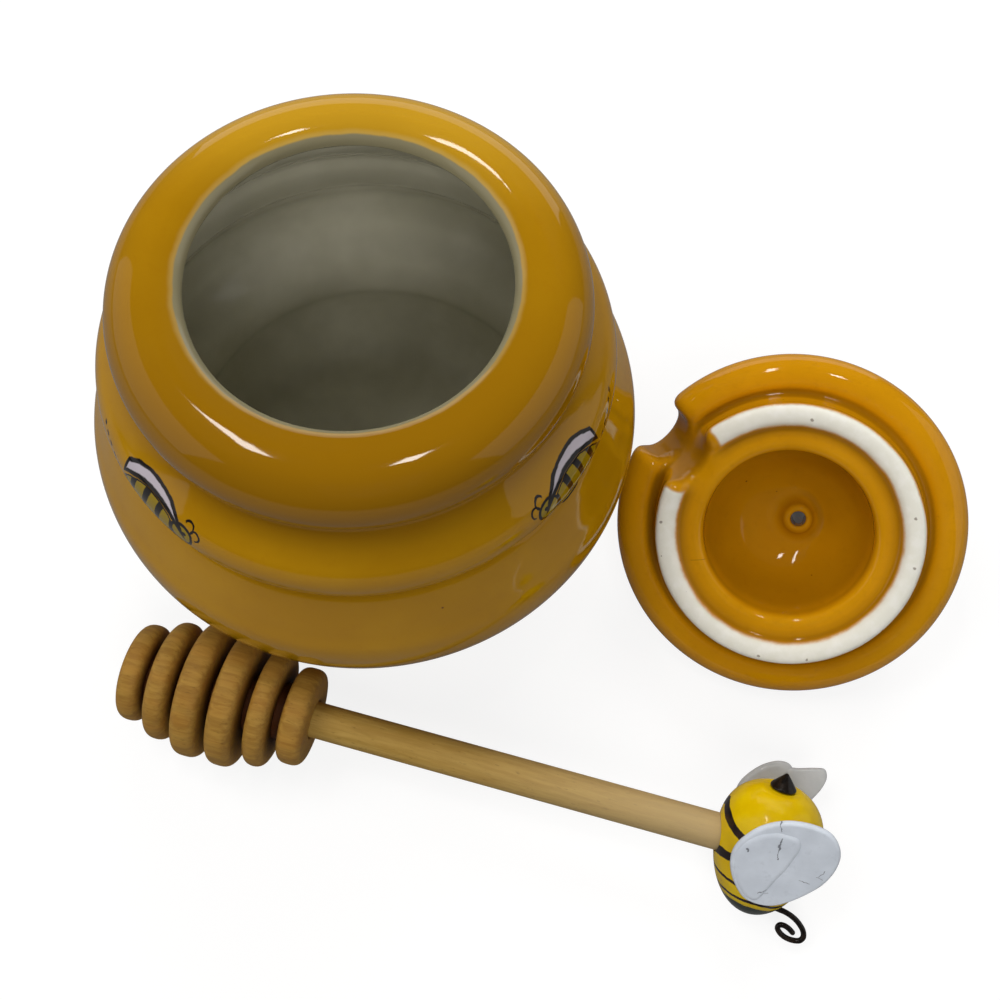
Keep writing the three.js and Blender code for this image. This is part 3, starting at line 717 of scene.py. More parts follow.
class LidField:
    """Signed distance to the lid's surface, in millimetres, negative inside the clay."""

    step = 0.12
    low = np.array([-3.0, -46.0])
    high = np.array([46, 6])
    far = 9

    def __init__(self):
        outline = lid_outline()
        self.r = np.arange(self.low[0], self.high[0], self.step)
        self.z = np.arange(self.low[1], self.high[1], self.step)
        grid_r, grid_z = np.meshgrid(np.abs(self.r), self.z, indexing="ij")
        loop = np.vstack([outline, outline[-2:0:-1] * [-1, 1]])
        flat = np.stack([grid_r.ravel(), grid_z.ravel()], 1)
        best = np.full(len(flat), 1e9)
        odd = np.zeros(len(flat), bool)
        for a, b in zip(loop, np.roll(loop, -1, axis=0)):
            side = b - a
            size = side.dot(side)
            if size < 1e-12:
                continue
            near = np.abs(flat - (a + b) / 2).max(1) < self.far
            part = flat[near] - a
            share = np.clip(part.dot(side) / size, 0, 1)
            gap = part - share[:, None] * side
            best[near] = np.minimum(best[near], (gap ** 2).sum(1))
            if (a[1] > b[1]) or (a[1] < b[1]):
                cross = (a[1] > flat[:, 1]) != (b[1] > flat[:, 1])
                at = a[0] + (flat[:, 1] - a[1]) * side[0] / side[1]
                odd ^= cross & (flat[:, 0] < at)
        gap = np.sqrt(np.minimum(best, self.far ** 2))
        self.values = np.where(odd, -gap, gap).reshape(grid_r.shape)

    def profile(self, radius, height):
        u = (radius - self.low[0]) / self.step
        v = (height - self.low[1]) / self.step
        i = np.clip(u.astype(int), 0, len(self.r) - 2)
        j = np.clip(v.astype(int), 0, len(self.z) - 2)
        u, v = u - i, v - j
        f = self.values
        low = f[i, j] * (1 - u) + f[i + 1, j] * u
        high = f[i, j + 1] * (1 - u) + f[i + 1, j + 1] * u
        return low * (1 - v) + high * v

    def notch(self, points):
        """About the distance from the notch's leaning walls, negative in the notch."""
        way = math.radians(NOTCH_DIRECTION)
        out = points[:, 0] * math.cos(way) + points[:, 1] * math.sin(way)
        side = np.abs(-points[:, 0] * math.sin(way) + points[:, 1] * math.cos(way))
        out = out + NOTCH_LEAN * points[:, 2]
        return (np.hypot(np.minimum(out - NOTCH_MIDDLE, 0), side) - NOTCH_HALF) * NOTCH_SCALE

    def vent(self, points):
        x, y, _ = (points - nub_shift).T
        return np.hypot(x, y) - VENT_RADIUS

    @staticmethod
    def both(a, b, soft):
        """The larger of two distances, with the corner rounded."""
        mixed = np.clip(0.5 + 0.5 * (a - b) / soft, 0, 1)
        return b * (1 - mixed) + a * mixed + soft * mixed * (1 - mixed)

    def __call__(self, points):
        x, y, z = points.T
        moved = points - pushed(points)
        inner = self.profile(np.hypot(moved[:, 0], moved[:, 1]), z)
        body = np.where(z > NUB_LEVEL, inner, self.profile(np.hypot(x, y), z))
        body = self.both(body, -self.notch(points), NOTCH_SOFTNESS)
        return self.both(body, -self.vent(points), VENT_SOFTNESS)

    def slope(self, points, reach=0.06):
        columns = [self(points + axis) - self(points - axis) for axis in np.eye(3) * reach]
        return np.stack(columns, 1) / (2 * reach)


def lid_look():
    look = Look("amber_lid_glaze")
    place = look.place()
    flat = look.flat_place(place)
    z = look.split(place)[2] * (1 / MM)
    radius = look.vector("LENGTH", flat)
    wander = look.noise(place, 6, 2) - 0.5
    fray = look.noise(place, 1.0, 3, 0.7) - 0.5
    reach = radius + wander * 0.8 + fray * 0.25
    inner = look.ease(reach, 23.7, 25.5)
    outer = look.ease(reach, 29.9, 28.3)
    notch = look.ease(look.noted("notch") + wander, 1.4, 2.9)
    face = look.ease(z, -2.4, -1.2)
    bare = inner * outer * (notch * face)
    # Darker in concave places, as at the nub's foot: partly glaze pooling, partly painted shade.
    pooling_and_shade = look.noted("glaze_pool_and_shade") * 0.6
    # Painted shade inside the bowl, deeper towards its floor.
    bowl = look.ease(radius, 19.2, 17.5) * look.ease(z, -3.5, -8.0, 0.0, 0.38)
    # Painted shade on and near the notch's walls.
    painted_notch_shade = look.ease(look.noted("notch"), 1.2, -0.2) * 0.55
    dark = look.math("MAXIMUM", look.math("MAXIMUM", pooling_and_shade, bowl), painted_notch_shade)
    amber = amber_glaze(look, place, dark, (204, 141, 5), (216, 152, 9))
    rim = look.ease(bare, 0.02, 0.3) * look.ease(bare, 0.8, 0.35)
    patches = look.ease(look.noise(place, 3, 4, 0.6), 0.4, 0.7)
    clay = look.mix(patches, (240, 239, 228), (247, 246, 238))
    pores = look.ease(look.cells(place, 1.7), 0.13, 0.06) * look.ease(look.noise(place, 6, 2), 0.6, 0.66)
    clay = look.mix(pores, clay, (120, 110, 100))
    for spot in ring_chips:
        gap = look.vector("DISTANCE", flat, (*spot, 0)) + fray * 0.9
        clay = look.mix(look.ease(gap, 0.42, 0.2) * 0.7, clay, (110, 92, 74))
    colour = look.mix(look.ease(bare, 0.15, 0.85), amber, clay)
    colour = look.mix(rim * 0.2, colour, (204, 152, 96))
    crack = look.scratch(flat, (-17.2, -13.9), (-14.4, -12.5), 0.07)
    colour = look.mix(crack * 0.6, colour, (104, 62, 6))
    look.coat(
        Base_Color=colour,
        Roughness=glaze_gloss(look, place) + look.ease(bare, 0.3, 0.8) * 0.6,
        Normal=look.bump(pores, -0.1, glaze_relief(look, place)),
        IOR=GLAZE_BEND,
    )
    return look.owner


def rough_lid():
    """The turned lid with a plain notch and vent, for the distance field to pull into shape."""
    outline = lid_outline()[::-5][:-1]
    rough = turned("lid_shell", np.vstack([outline, [(0, NUB_TOP)]]), LID_SIDES)
    points = get_points(rough.data)
    set_points(rough.data, points + pushed(points) * (points[:, 2:] > NUB_LEVEL))
    vent = turned("vent", np.array([(0, -50), (VENT_RADIUS, -50), (VENT_RADIUS, 0), (0, 0)]), VENT_SIDES)
    vent.data.transform(shift(*nub_shift))
    cut_away(rough, vent)
    angles = np.radians(np.linspace(90, 270, 13))
    plan = [(NOTCH_MIDDLE + NOTCH_HALF * math.cos(a), NOTCH_HALF * math.sin(a)) for a in angles]
    plan += [(70, -NOTCH_HALF), (70, NOTCH_HALF)]
    points = [(out - NOTCH_LEAN * z, side, z) for z in (-42, 6) for out, side in plan]
    count = len(plan)
    faces = [tuple(range(count))[::-1], tuple(range(count, 2 * count))]
    faces += [(k, (k + 1) % count, count + (k + 1) % count, count + k) for k in range(count)]
    slot = make_piece("slot", points, faces)
    slot.data.transform(turn("Z", NOTCH_DIRECTION))
    cut_away(rough, slot)
    return rough


def make_lid():
    """Pulls an even mesh of the rough lid onto the distance field's surface, easing it on the way."""
    field = LidField()
    rough = rough_lid()
    remesh = rough.modifiers.new("voxels", "REMESH")
    remesh.mode = "VOXEL"
    remesh.voxel_size = LID_VOXEL * MM
    remesh.use_smooth_shade = True
    bpy.context.view_layer.update()
    settle(rough)
    mesh = rough.data
    points = get_points(mesh)
    edges = np.empty(len(mesh.edges) * 2, np.int32)
    mesh.edges.foreach_get("vertices", edges)
    edges = edges.reshape(-1, 2)
    degree = np.bincount(edges.ravel(), minlength=len(points))[:, None]
    for step in range(LID_PULLS):
        for _ in range(2):
            slope = field.slope(points)
            size = np.maximum((slope ** 2).sum(1), 0.25)[:, None]
            move = field(points)[:, None] * slope / size
            points -= np.clip(move, -0.4, 0.4)
        if step < LID_EASED_PULLS:
            total = np.zeros_like(points)
            np.add.at(total, edges[:, 0], points[edges[:, 1]])
            np.add.at(total, edges[:, 1], points[edges[:, 0]])
            points += 0.5 * (total / degree - points)
    normals = field.slope(points)
    normals /= np.linalg.norm(normals, axis=1)[:, None]
    set_points(mesh, points)
    set_down(rough, LID_FRAME)
    mesh.shade_smooth()
    spin = np.array(LID_FRAME.to_3x3())
    mesh.normals_split_custom_set_from_vertices((normals @ spin.T).tolist())
    note(rough, "notch", field.notch(points))
    # Concavity around each point, for glaze pooling and for painted shade in recesses.
    ways = np.vstack([np.eye(3), -np.eye(3)]) * POOLING_AND_SHADE_REACH
    around = sum(field(points + way) for way in ways) / len(ways)
    note(rough, "glaze_pool_and_shade", np.clip(-around / POOLING_AND_SHADE_BEND, 0, 1))
    mesh.materials.clear()
    mesh.materials.append(lid_look())
    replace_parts(rough, "lid")
    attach(rough, "lid")


make_lid()

# Dipper head: six rounded discs on a core, with a socket for the dowel

DOWEL_RADIUS = 4.0
DOWEL_SHOWN = 90.9
DOWEL_IN_BEE = 9
SOCKET_RADIUS = 4.3
SOCKET_DEPTH = 16.3
DOWEL_SIDES = 64
CHAMFER = 0.3
GLUE_GAP = 0.3
HEAD_SIDES = 128
HEAD_LENGTH = 42.6
HEAD_RADIUS = 15.4
HEAD_END_RADIUS = 10.9
CORE_RADIUS = 6.4
DISC_GROOVE = 2
DISC_ROUND = 2.5
disc_widths = [0.145, 0.165, 0.185, 0.185, 0.16, 0.16]


def head_outline():
    rows = [(0.0, 0.0)]
    start = 0
    last = len(disc_widths) - 1
    for i, share in enumerate(disc_widths):
        swell = math.sin(math.pi * i / last) ** 1.2 if 0 < i < last else 0
        radius = HEAD_END_RADIUS + (HEAD_RADIUS - HEAD_END_RADIUS) * swell
        begin = start + (DISC_GROOVE / 2 if i else 0)
        end = start + share * HEAD_LENGTH - (DISC_GROOVE / 2 if i < last else 0)
        flat = radius - DISC_ROUND
        disc = np.vstack([
            bow((flat, begin), (radius, begin), (radius, begin + DISC_ROUND), 8),
            bow((radius, end - DISC_ROUND), (radius, end), (flat, end), 8),
        ])
        if i:
            rows += [(CORE_RADIUS, begin + 0.1), (CORE_RADIUS + 0.3, begin)]
        rows += [tuple(row) for row in disc]
        if i < last:
            rows += [(CORE_RADIUS + 0.3, end), (CORE_RADIUS, end - 0.1)]
        start += share * HEAD_LENGTH
    socket = HEAD_LENGTH - SOCKET_DEPTH
    rows += [(SOCKET_RADIUS + CHAMFER, HEAD_LENGTH), (SOCKET_RADIUS, HEAD_LENGTH - CHAMFER)]
    rows += [(SOCKET_RADIUS, socket), (0.0, socket)]
    return np.array(rows)


def wood(name, grain, light, dark, ends):
    """Steamed beech: long soft streaks, short dark flecks and open end grain."""
    look = Look(name)
    place = look.place()
    stretched = look.vector("MULTIPLY", place, (1.0, 1.0, 0.09))
    streak = look.noise(stretched, grain, 5, 0.6, 0.4)
    years = look.noise(stretched, grain * 4, 2, 0.5, 0.8)
    flecks = look.noise(look.vector("MULTIPLY", place, (1.0, 1.0, 0.28)), 0.55, 3, 0.55)
    colour = look.mix(look.ease(streak, 0.32, 0.7), dark, light)
    colour = look.mix(look.ease(years, 0.35, 0.7) * 0.35, colour, ends)
    colour = look.mix(look.ease(flecks, 0.6, 0.74) * 0.45, colour, (108, 76, 30))
    height = look.split(place)[2] * (1 / MM)
    colour = look.mix(look.ease(height, 60, 150, 0.0, 0.75), colour, (186, 166, 128))
    # Painted shade deep in the grooves between the head's discs.
    colour = look.mix(look.noted("painted_groove_shade"), colour, (70, 34, 8))
    look.coat(
        Base_Color=colour,
        Roughness=look.stretch(streak, 0.3, 0.7, 0.5, 0.68),
        Normal=look.bump(flecks, -0.05, look.bump(streak, 0.06)),
    )
    return look.owner


def make_head():
    outline = head_outline()
    depth, height = outline.T
    between = (height > 3) & (height < HEAD_LENGTH - 3)
    # Painted shade: the grooves darker towards the core.
    painted_groove_shade = share_of(depth, 10.4, 7.0) * between
    head = turned("dipper_head_turned", outline, HEAD_SIDES, {"painted_groove_shade": painted_groove_shade})
    set_down(head, STICK_FRAME)
    soft_edges(head, 45)
    look = wood("turned_beech", 1.1, (180, 141, 64), (150, 110, 44), (172, 117, 44))
    head.data.materials.append(look)
    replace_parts(head, "dipper_head")
    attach(head, "dipper")


def make_handle():
    start = HEAD_LENGTH - SOCKET_DEPTH + GLUE_GAP
    end = HEAD_LENGTH + DOWEL_SHOWN + DOWEL_IN_BEE
    slim = DOWEL_RADIUS - CHAMFER
    rows = [(0.0, start), (slim, start), (DOWEL_RADIUS, start + CHAMFER)]
    rows += [(DOWEL_RADIUS, height) for height in np.linspace(start + 3, end - 3, 60)]
    rows += [(DOWEL_RADIUS, end - CHAMFER), (slim, end), (0.0, end)]
    handle = turned("dipper_handle_dowel", np.array(rows), DOWEL_SIDES)
    set_down(handle, STICK_FRAME)
    soft_edges(handle, 40)
    look = wood("dowel_beech", 0.9, (188, 155, 82), (168, 133, 62), (178, 138, 62))
    handle.data.materials.append(look)
    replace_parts(handle, "dipper_handle")
    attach(handle, "dipper")


make_head()
make_handle()

# Bee: an egg lying across the dowel, rear end at local plus Z, back at local plus X

BEE_SIDES = 112
BEE_RADIUS = 11.2
BEE_WIDEST = 2.6
BEE_REAR = 13.9
BEE_HEAD = 16
STINGER_SEAT = BEE_REAR - 0.6
STINGER_SIDES = 48
WING_LENGTH = 24.4
WING_WIDTH = 21
WING_THICKNESS = 1.5
WING_POINTS = 128
WING_EDGE_ROWS = 9
WING_LAP = 0.35
wing_edges = (0.8, 1.7)
WING_SEAT_DROP = 4.2
WING_FLARE = 15
WING_REARWARD = 7.4
WING_UPWARD = 1.8
WIRE_RADIUS = 0.6
WIRE_SIDES = 20
WIRE_STEP = 0.22
ANTENNA_LENGTH = 10
ANTENNA_SPREAD = 1.6
ANTENNA_ASIDE = 0.8
ANTENNA_DROP = 1.7
antenna_root = [(0.26, 0.31), (0.41, 0.29)]
antenna_curl = [
    (0.62, 0.296), (0.79, 0.273), (0.98, 0.207), (1.14, 0.105), (1.285, -0.053), (1.326, -0.196),
    (1.271, -0.292), (1.129, -0.328), (0.957, -0.308), (0.81, -0.23), (0.74, -0.135), (0.765, -0.06),
    (0.855, -0.043), (0.97, -0.08), (1.075, -0.15),
]


def bee_radius(height):
    reach = BEE_REAR - BEE_WIDEST if height > BEE_WIDEST else BEE_HEAD + BEE_WIDEST
    share = min(abs(height - BEE_WIDEST) / reach, 1)
    power = 2.3 if height > BEE_WIDEST else 2
    return BEE_RADIUS * (1 - share ** power) ** (1 / power)


WING_SEAT = bee_radius(-WING_SEAT_DROP) - 0.9


def beside_bee(side, off):
    """The frame of a thing lying flat against one side of the bee; side 1 is its right."""
    lean = turn("X", 90 + WING_FLARE)
    flip = Matrix.Diagonal((1, side, 1, 1))
    return flip @ shift(0, -off, -WING_SEAT_DROP) @ lean


def bee_look():
    """Hand-painted yellow with two thick and two thin dark stripes and a dark face."""
    look = Look("bee_yellow_glaze")
    place = look.place()
    _, y, z = look.split(look.vector("SCALE", place, scale=1 / MM))
    aside = abs(y)
    sway = look.noise(place, 4, 2) - 0.5
    height = z + sway * 1.1
    first = height + aside * 0.38
    second = height - aside * 0.2
    stripes = None
    bands = [(first, 7.5, 1.0), (second, -2.9, 1.0), (height, -6.7, 0.36), (height, -10.2, 0.38)]
    for level, middle, half in bands:
        gap = abs(level - middle)
        band = look.ease(gap, half + 0.1, half - 0.1)
        stripes = band if stripes is None else look.math("MAXIMUM", stripes, band)
    nose = look.ease(height, -11.4, -11.8)
    cloud = look.noise(place, 5, 3)
    yellow = look.mix(look.ease(cloud, 0.35, 0.7), (228, 189, 2), (238, 202, 5))
    yellow = look.mix(look.ease(z, -4.0, -11.0, 0.0, 0.45), yellow, (196, 170, 3))
    dark = look.mix(look.ease(look.noise(place, 2.5, 2), 0.45, 0.6), (24, 12, 12), (44, 24, 20))
    colour = look.mix(stripes, yellow, dark)
    colour = look.mix(nose, colour, (24, 38, 30))
    look.coat(
        Base_Color=colour,
        Roughness=look.stretch(cloud, 0.3, 0.7, 0.14, 0.26),
        Normal=look.bump(look.noise(place, 3, 3), 0.14, look.bump(stripes, 0.05)),
        IOR=1.46,
    )
    return look.owner


def antenna_path(side):
    """Out of the head, down over the back and up into a curl. Side 1 is the bee's right."""
    aside, drop = (0.0, 0.0) if side > 0 else (ANTENNA_ASIDE, ANTENNA_DROP)
    root = np.array(antenna_root) * ANTENNA_LENGTH - [0, drop / 2]
    curl = np.array(antenna_curl) * ANTENNA_LENGTH + [aside, -drop]
    out, back = np.vstack([root, curl]).T
    rows = np.column_stack([out, np.full(len(out), -side * ANTENNA_SPREAD), back - BEE_HEAD])
    return even(spline(rows, 16), WIRE_STEP)


def make_bee_body():
    rows = [(0.0, -BEE_HEAD)]
    for share in np.linspace(0, math.pi, 90)[1:-1]:
        height = -BEE_HEAD + (BEE_HEAD + BEE_REAR) * (1 - math.cos(share)) / 2
        rows.append((bee_radius(height), min(height, STINGER_SEAT)))
    rows.append((0.0, STINGER_SEAT))
    body = turned("bee_egg", np.array(rows), BEE_SIDES)
    for side in (1, -1):
        seat = beside_bee(side, WING_SEAT)
        back = seat.inverted()
        for vertex in body.data.vertices:
            local = back @ vertex.co
            if local.z > 0:
                local.z = 0
                vertex.co = seat @ local
    bottom = DOWEL_IN_BEE - BEE_RADIUS + GLUE_GAP
    hole = [(0.0, -14.0), (SOCKET_RADIUS, -14.0), (SOCKET_RADIUS, bottom), (0.0, bottom)]
    drill = turned("drill", np.array(hole), DOWEL_SIDES)
    drill.matrix_world = turn("Y", 90)
    cut_away(body, drill)
    for side in (1, -1):
        cut_away(body, tube("antenna_drill", antenna_path(side), WIRE_RADIUS + GLUE_GAP, WIRE_SIDES))
    set_down(body, BEE_FRAME)
    soft_edges(body, 38)
    body.data.materials.clear()
    body.data.materials.append(bee_look())
    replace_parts(body, "bee_body")
    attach(body, "dipper")


def black_look(name, roughness):
    look = Look(name)
    place = look.place()
    cloud = look.noise(place, 1.6, 3)
    look.coat(
        Base_Color=look.mix(look.ease(cloud, 0.4, 0.7), (20, 16, 14), (40, 32, 26)),
        Roughness=look.stretch(cloud, 0.3, 0.7, roughness * 0.7, roughness * 1.4),
        Normal=look.bump(cloud, 0.08),
    )
    return look.owner


def make_stinger():
    seat = STINGER_SEAT + GLUE_GAP
    cone = np.array([(2.8, 0.0), (2.8, 0.35), (2.05, 1.3), (1.2, 2.3), (0.48, 3.1), (0.25, 3.33)])
    rows = np.vstack([[(0, 0)], soften(spline(cone), 0.1, 0.12), [(0, 3.4)]])
    rows[:, 1] += seat
    piece = turned("bee_stinger_cone", rows, STINGER_SIDES)
    set_down(piece, BEE_FRAME)
    soft_edges(piece, 45)
    piece.data.materials.append(black_look("black_glaze", 0.2))
    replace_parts(piece, "bee_stinger")
    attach(piece, "dipper")


# Wings: two rounded lobes from one root, in shares of width and length

near_hind = [
    (-0.11, -0.5), (0.04, -0.48), (0.2, -0.38), (0.42, -0.13), (0.48, 0.01), (0.5, 0.13), (0.485, 0.255),
    (0.42, 0.363), (0.32, 0.442), (0.16, 0.476), (-0.02, 0.465), (-0.16, 0.423), (-0.33, 0.313),
    (-0.426, 0.191), (-0.48, 0.089), (-0.5, -0.02), (-0.48, -0.144), (-0.42, -0.272), (-0.33, -0.392),
    (-0.23, -0.475),
]
near_fore = [
    (-0.12, -0.46), (-0.21, -0.455), (-0.31, -0.38), (-0.4, -0.265), (-0.46, -0.14), (-0.48, -0.02),
    (-0.46, 0.08), (-0.405, 0.18), (-0.31, 0.27), (-0.17, 0.335), (-0.05, 0.342), (0.05, 0.332),
    (0.1, 0.28), (0.11, 0.208), (0.094, 0.117), (0.061, -0.038), (0.002, -0.189), (-0.059, -0.343),
]
far_hind = [
    (0, -0.47), (0.12, -0.36), (0.2, -0.16), (0.29, 0.04), (0.37, 0.18), (0.45, 0.32), (0.47, 0.42),
    (0.43, 0.485), (0.33, 0.475), (0.17, 0.435), (0.03, 0.4), (-0.06, 0.25), (-0.1, 0), (-0.1, -0.3),
]
far_fore = [
    (-0.08, -0.47), (-0.2, -0.47), (-0.33, -0.33), (-0.42, -0.1), (-0.43, 0.08), (-0.4, 0.185),
    (-0.3, 0.31), (-0.19, 0.395), (-0.06, 0.45), (0.05, 0.45), (0.11, 0.4), (0.12, 0.26), (0.08, 0.05),
    (0.01, -0.25),
]
wing_scratches = [
    ((-0.5, 14.3), (-0.15, 11.4), 0.16), ((-0.15, 11.4), (0.25, 8.8), 0.08),
    ((-1.6, 18.2), (-1.0, 16.0), 0.07), ((-6.1, 9.6), (-5.9, 8.9), 0.2), ((9.5, 7.1), (10.1, 9.0), 0.06),
    ((9.1, 6.9), (10.3, 6.6), 0.05), ((6.1, 4.9), (8.2, 4.6), 0.06), ((-0.9, -1.2), (0.4, 0.2), 0.07),
    ((-0.2, -1.6), (1.0, -0.7), 0.05),
]


def closed_curve(points, count):
    """A smooth loop through all the points, as the given number of even points."""
    points = np.asarray(points, float)
    extra, steps = 3, 24
    fine = spline(np.vstack([points[-extra:], points, points[:extra]]), steps)
    loop = even(fine[extra * steps:(extra + len(points)) * steps + 1], 0.05)
    pick = np.linspace(0, len(loop) - 1, count + 1)[:-1].round().astype(int)
    return loop[pick]


def pillow(outline, thickness, edge, rows):
    """A flat plate with rounded edges, as points and faces."""
    middle = outline.mean(0)
    spread = np.linalg.norm(outline - middle, axis=1)
    angles = np.linspace(0, math.pi / 2, rows)
    levels = [(1 - edge * (1 - math.cos(angle)) / spread, math.sin(angle)) for angle in angles]
    levels += [(levels[-1][0] * share, 1) for share in (0.8, 0.55, 0.3)]
    rings = []
    for scale, rise in [(scale, -rise) for scale, rise in levels[:0:-1]] + levels:
        height = np.full(len(outline), thickness / 2 * (1 + rise))
        rings.append(np.column_stack([middle + (outline - middle) * scale[:, None], height]))
    points = np.vstack(rings + [[[*middle, 0]], [[*middle, thickness]]])
    return points, closed_skin(len(rings), len(outline))


def wing_look(name, shade, scratches):
    look = Look(name)
    place = look.place()
    flat = look.shaken(look.flat_place(place), place, 1.1, 1.1)
    cloud = look.noise(place, 6, 3)
    white = look.mix(look.ease(cloud, 0.35, 0.7), shade, tuple(value + 10 for value in shade))
    grubby = look.ease(look.noise(place, 2.6, 4, 0.65), 0.55, 0.75)
    white = look.mix(grubby * 0.35, white, tuple(value - 24 for value in shade))
    scuffs = look.noise(look.vector("MULTIPLY", place, (1.0, 0.4, 1.0)), 0.9, 4, 0.6, 1.5)
    worn = look.ease(scuffs, 0.67, 0.75) * look.ease(look.noise(place, 4, 1), 0.54, 0.64)
    colour = look.mix(worn * 0.5, white, (120, 122, 134))
    cut = None
    for start, end, half in scratches:
        line = look.scratch(flat, start, end, half)
        cut = line if cut is None else look.math("MAXIMUM", cut, line)
    relief = look.bump(look.noise(place, 4, 3), 0.2, look.bump(worn, -0.05))
    if cut is not None:
        colour = look.mix(cut * 0.7, colour, (44, 42, 52))
        relief = look.bump(cut, -0.08, relief)
    look.coat(
        Base_Color=colour,
        Roughness=look.stretch(cloud, 0.3, 0.7, 0.12, 0.28),
        Normal=relief,
        IOR=1.5,
    )
    return look.owner


def make_wing(name, side, lobes, material):
    """Two rounded lobes lying one on the other, against one side of the bee."""
    points, faces = [], []
    thicknesses = (WING_THICKNESS, WING_THICKNESS + WING_LAP)
    for lobe, thickness, edge in zip(lobes, thicknesses, wing_edges):
        outline = closed_curve(np.array(lobe) * [WING_WIDTH, WING_LENGTH], WING_POINTS)
        outline += [WING_UPWARD, WING_REARWARD]
        if np.sum(np.cross(outline, np.roll(outline, -1, axis=0))) < 0:
            outline = outline[::-1]
        part, some = pillow(outline, thickness, edge, WING_EDGE_ROWS)
        faces += [tuple(i + len(points) for i in face) for face in some]
        points += part.tolist()
    if side < 0:
        faces = [face[::-1] for face in faces]
    wing = make_piece(name, points, faces)
    set_down(wing, BEE_FRAME @ beside_bee(side, WING_SEAT + GLUE_GAP))
    wing.data.materials.append(material)
    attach(wing, "dipper")
    return wing


def make_antenna(name, side, node, material):
    wire = tube(name, antenna_path(side), WIRE_RADIUS, WIRE_SIDES)
    set_down(wire, BEE_FRAME)
    wire.data.materials.append(material)
    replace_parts(wire, node)
    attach(wire, "dipper")


make_bee_body()
make_stinger()
scratched = wing_look("wing_enamel_scratched", (212, 220, 232), wing_scratches)
# The far wing is a darker copy of the near wing's white enamel: painted shade.
plain = wing_look("wing_enamel_shaded_copy", (178, 180, 182), [])
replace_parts(make_wing("bee_wing_near", 1, (near_hind, near_fore), scratched), "bee_wing_right")
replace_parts(make_wing("bee_wing_far", -1, (far_hind, far_fore), plain), "bee_wing_left")
wire_black = black_look("wire_enamel", 0.14)
make_antenna("bee_antenna_near", 1, "bee_antenna_right", wire_black)
make_antenna("bee_antenna_far", -1, "bee_antenna_left", wire_black)

# Camera, in the place worked out from the photograph

CAMERA_PLACE = (-8.474, -98.063, 291.740)
CAMERA_PITCH = 67.722
CAMERA_ROLL = 3.921
CAMERA_LENS = 45
CAMERA_SENSOR = 36


def make_camera():
    camera = bpy.data.objects.new("camera", bpy.data.cameras.new("camera"))
    scene.collection.objects.link(camera)
    camera.matrix_world = shift(*CAMERA_PLACE) @ turn("X", 90 - CAMERA_PITCH) @ turn("Z", CAMERA_ROLL)
    camera.data.lens = CAMERA_LENS
    camera.data.sensor_width = CAMERA_SENSOR
    camera.data.clip_start = 0.01
    camera.data.clip_end = 20
    scene.camera = camera


make_camera()

# Table and light

WHITE = (1, 1, 1, 1)
DAYLIGHT = (1, 0.98, 0.95)
FLOOR_HALF = 2500
FLOOR_DROP = 0.02
FLOOR_WHITE = 0.2
FLOOR_GLOW = 0.84
MIRRORED_GLOW = 0.05
ROOM_GLOW = 0.04
floor_fade = (0.45, 1.3)

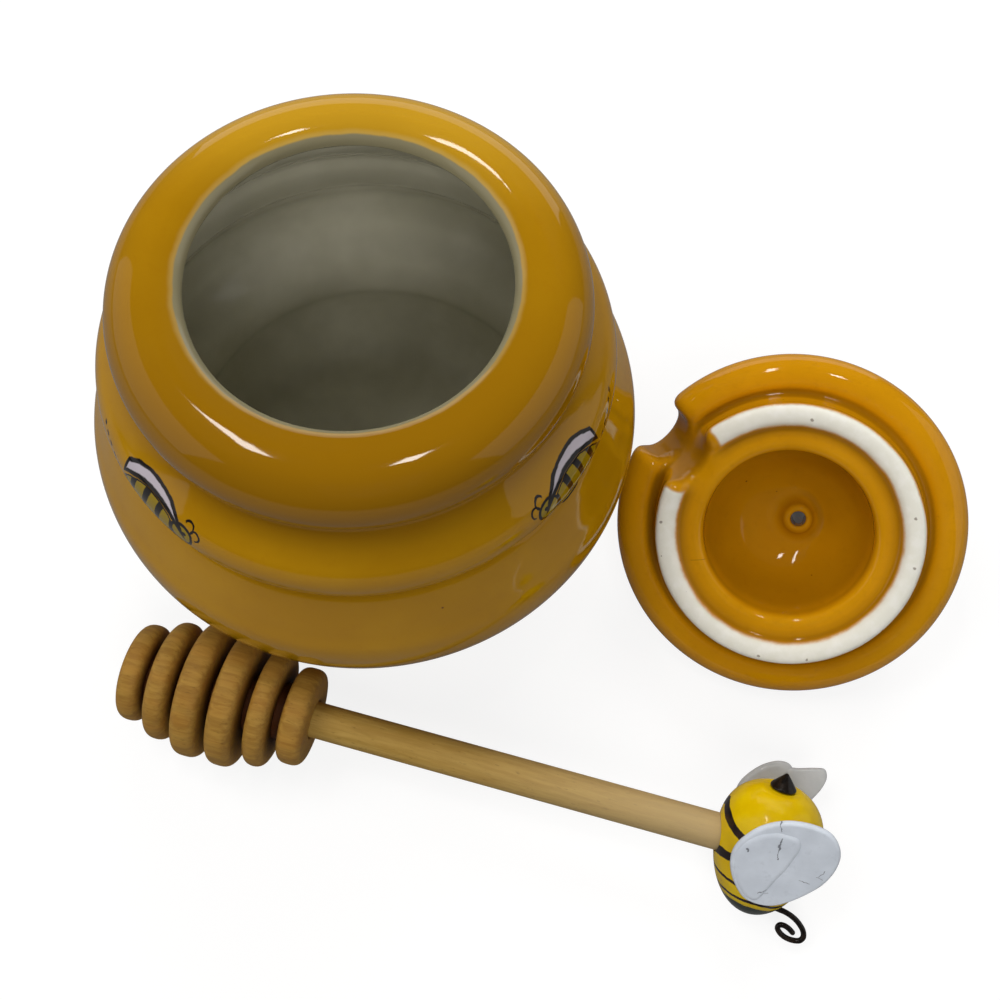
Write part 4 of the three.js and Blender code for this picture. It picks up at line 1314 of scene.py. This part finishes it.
# Name, place, target, size, power, colour and whether it is mirrored, in metres and watts
lamps = [
    ("soft_left", (-0.8, 0.15, 1.36), (0, 0, 0), (0.8, 0.8), 9.2, DAYLIGHT, False),
    ("soft_back", (0.2, 1.15, 1.05), (0, 0, 0), (0.9, 0.7), 10, DAYLIGHT, False),
    ("soft_front", (0.15, -1.0, 1.15), (0, 0, 0), (0.8, 0.8), 8.6, DAYLIGHT, False),
    ("wall_back", (0, 2.4, 0.62), (0, 0, 0.3), (3.2, 1.1), 9, (1, 1, 1), True),
    ("wall_left", (-2.4, 0, 1.15), (0, 0, 0.3), (3.2, 2.2), 8, (1, 1, 1), True),
    ("wall_right", (2.4, 0, 1.15), (0, 0, 0.3), (3.2, 2.2), 8, (1, 1, 1), True),
    ("ceiling_long", (-0.71, 0.67, 2.4), (-0.71, 0.67, 0), (0.14, 0.72), 4.6, (1, 0.98, 0.94), True),
    ("ceiling_short", (0.11, 0.21, 2.4), (0.11, 0.21, 0), (0.17, 0.25), 2.1, (1, 0.98, 0.94), True),
]


def make_floor():
    """A matt table that is white to the camera and keeps the shadows."""
    corners = [(-1, -1), (1, -1), (1, 1), (-1, 1)]
    points = [(x * FLOOR_HALF, y * FLOOR_HALF, -FLOOR_DROP) for x, y in corners]
    floor = make_piece("floor", points, [(0, 1, 2, 3)])
    look = Look("white_table")
    path = look.node("ShaderNodeLightPath").outputs
    away = look.vector("LENGTH", look.node("ShaderNodeNewGeometry").outputs["Position"])
    seen = look.ease(away, *floor_fade, FLOOR_GLOW, 1.0) * path["Is Camera Ray"]
    glow = look.fed("ShaderNodeEmission", (WHITE, seen + look.mirrored(path) * MIRRORED_GLOW))
    matt = look.fed("ShaderNodeBsdfDiffuse", ((FLOOR_WHITE, FLOOR_WHITE, FLOOR_WHITE, 1),))
    look.show(look.fed("ShaderNodeAddShader", (glow.outputs[0], matt.outputs[0])))
    floor.data.materials.append(look.owner)


def make_lamp(name, place, target, size, power, colour, glossy):
    data = bpy.data.lights.new(name, "AREA")
    data.shape = "RECTANGLE"
    data.size, data.size_y = size
    data.energy = power
    data.color = colour
    lamp = bpy.data.objects.new(name, data)
    scene.collection.objects.link(lamp)
    lamp.location = place
    lamp.rotation_euler = (Vector(target) - Vector(place)).to_track_quat("-Z", "Y").to_euler()
    lamp.visible_glossy = glossy


def make_world():
    """White to the camera, and dim for all else."""
    look = Look("room", bpy.data.worlds, "ShaderNodeOutputWorld")
    path = look.node("ShaderNodeLightPath").outputs
    strength = look.stretch(look.mirrored(path), 0, 1, ROOM_GLOW, MIRRORED_GLOW)
    room = look.fed("ShaderNodeBackground", ((*DAYLIGHT, 1), strength))
    seen = look.fed("ShaderNodeBackground", (WHITE, 1))
    parts = (path["Is Camera Ray"], room.outputs[0], seen.outputs[0])
    look.show(look.fed("ShaderNodeMixShader", parts))
    scene.world = look.owner


make_floor()
make_world()
for lamp in lamps:
    make_lamp(*lamp)

scene.view_settings.view_transform = "Standard"
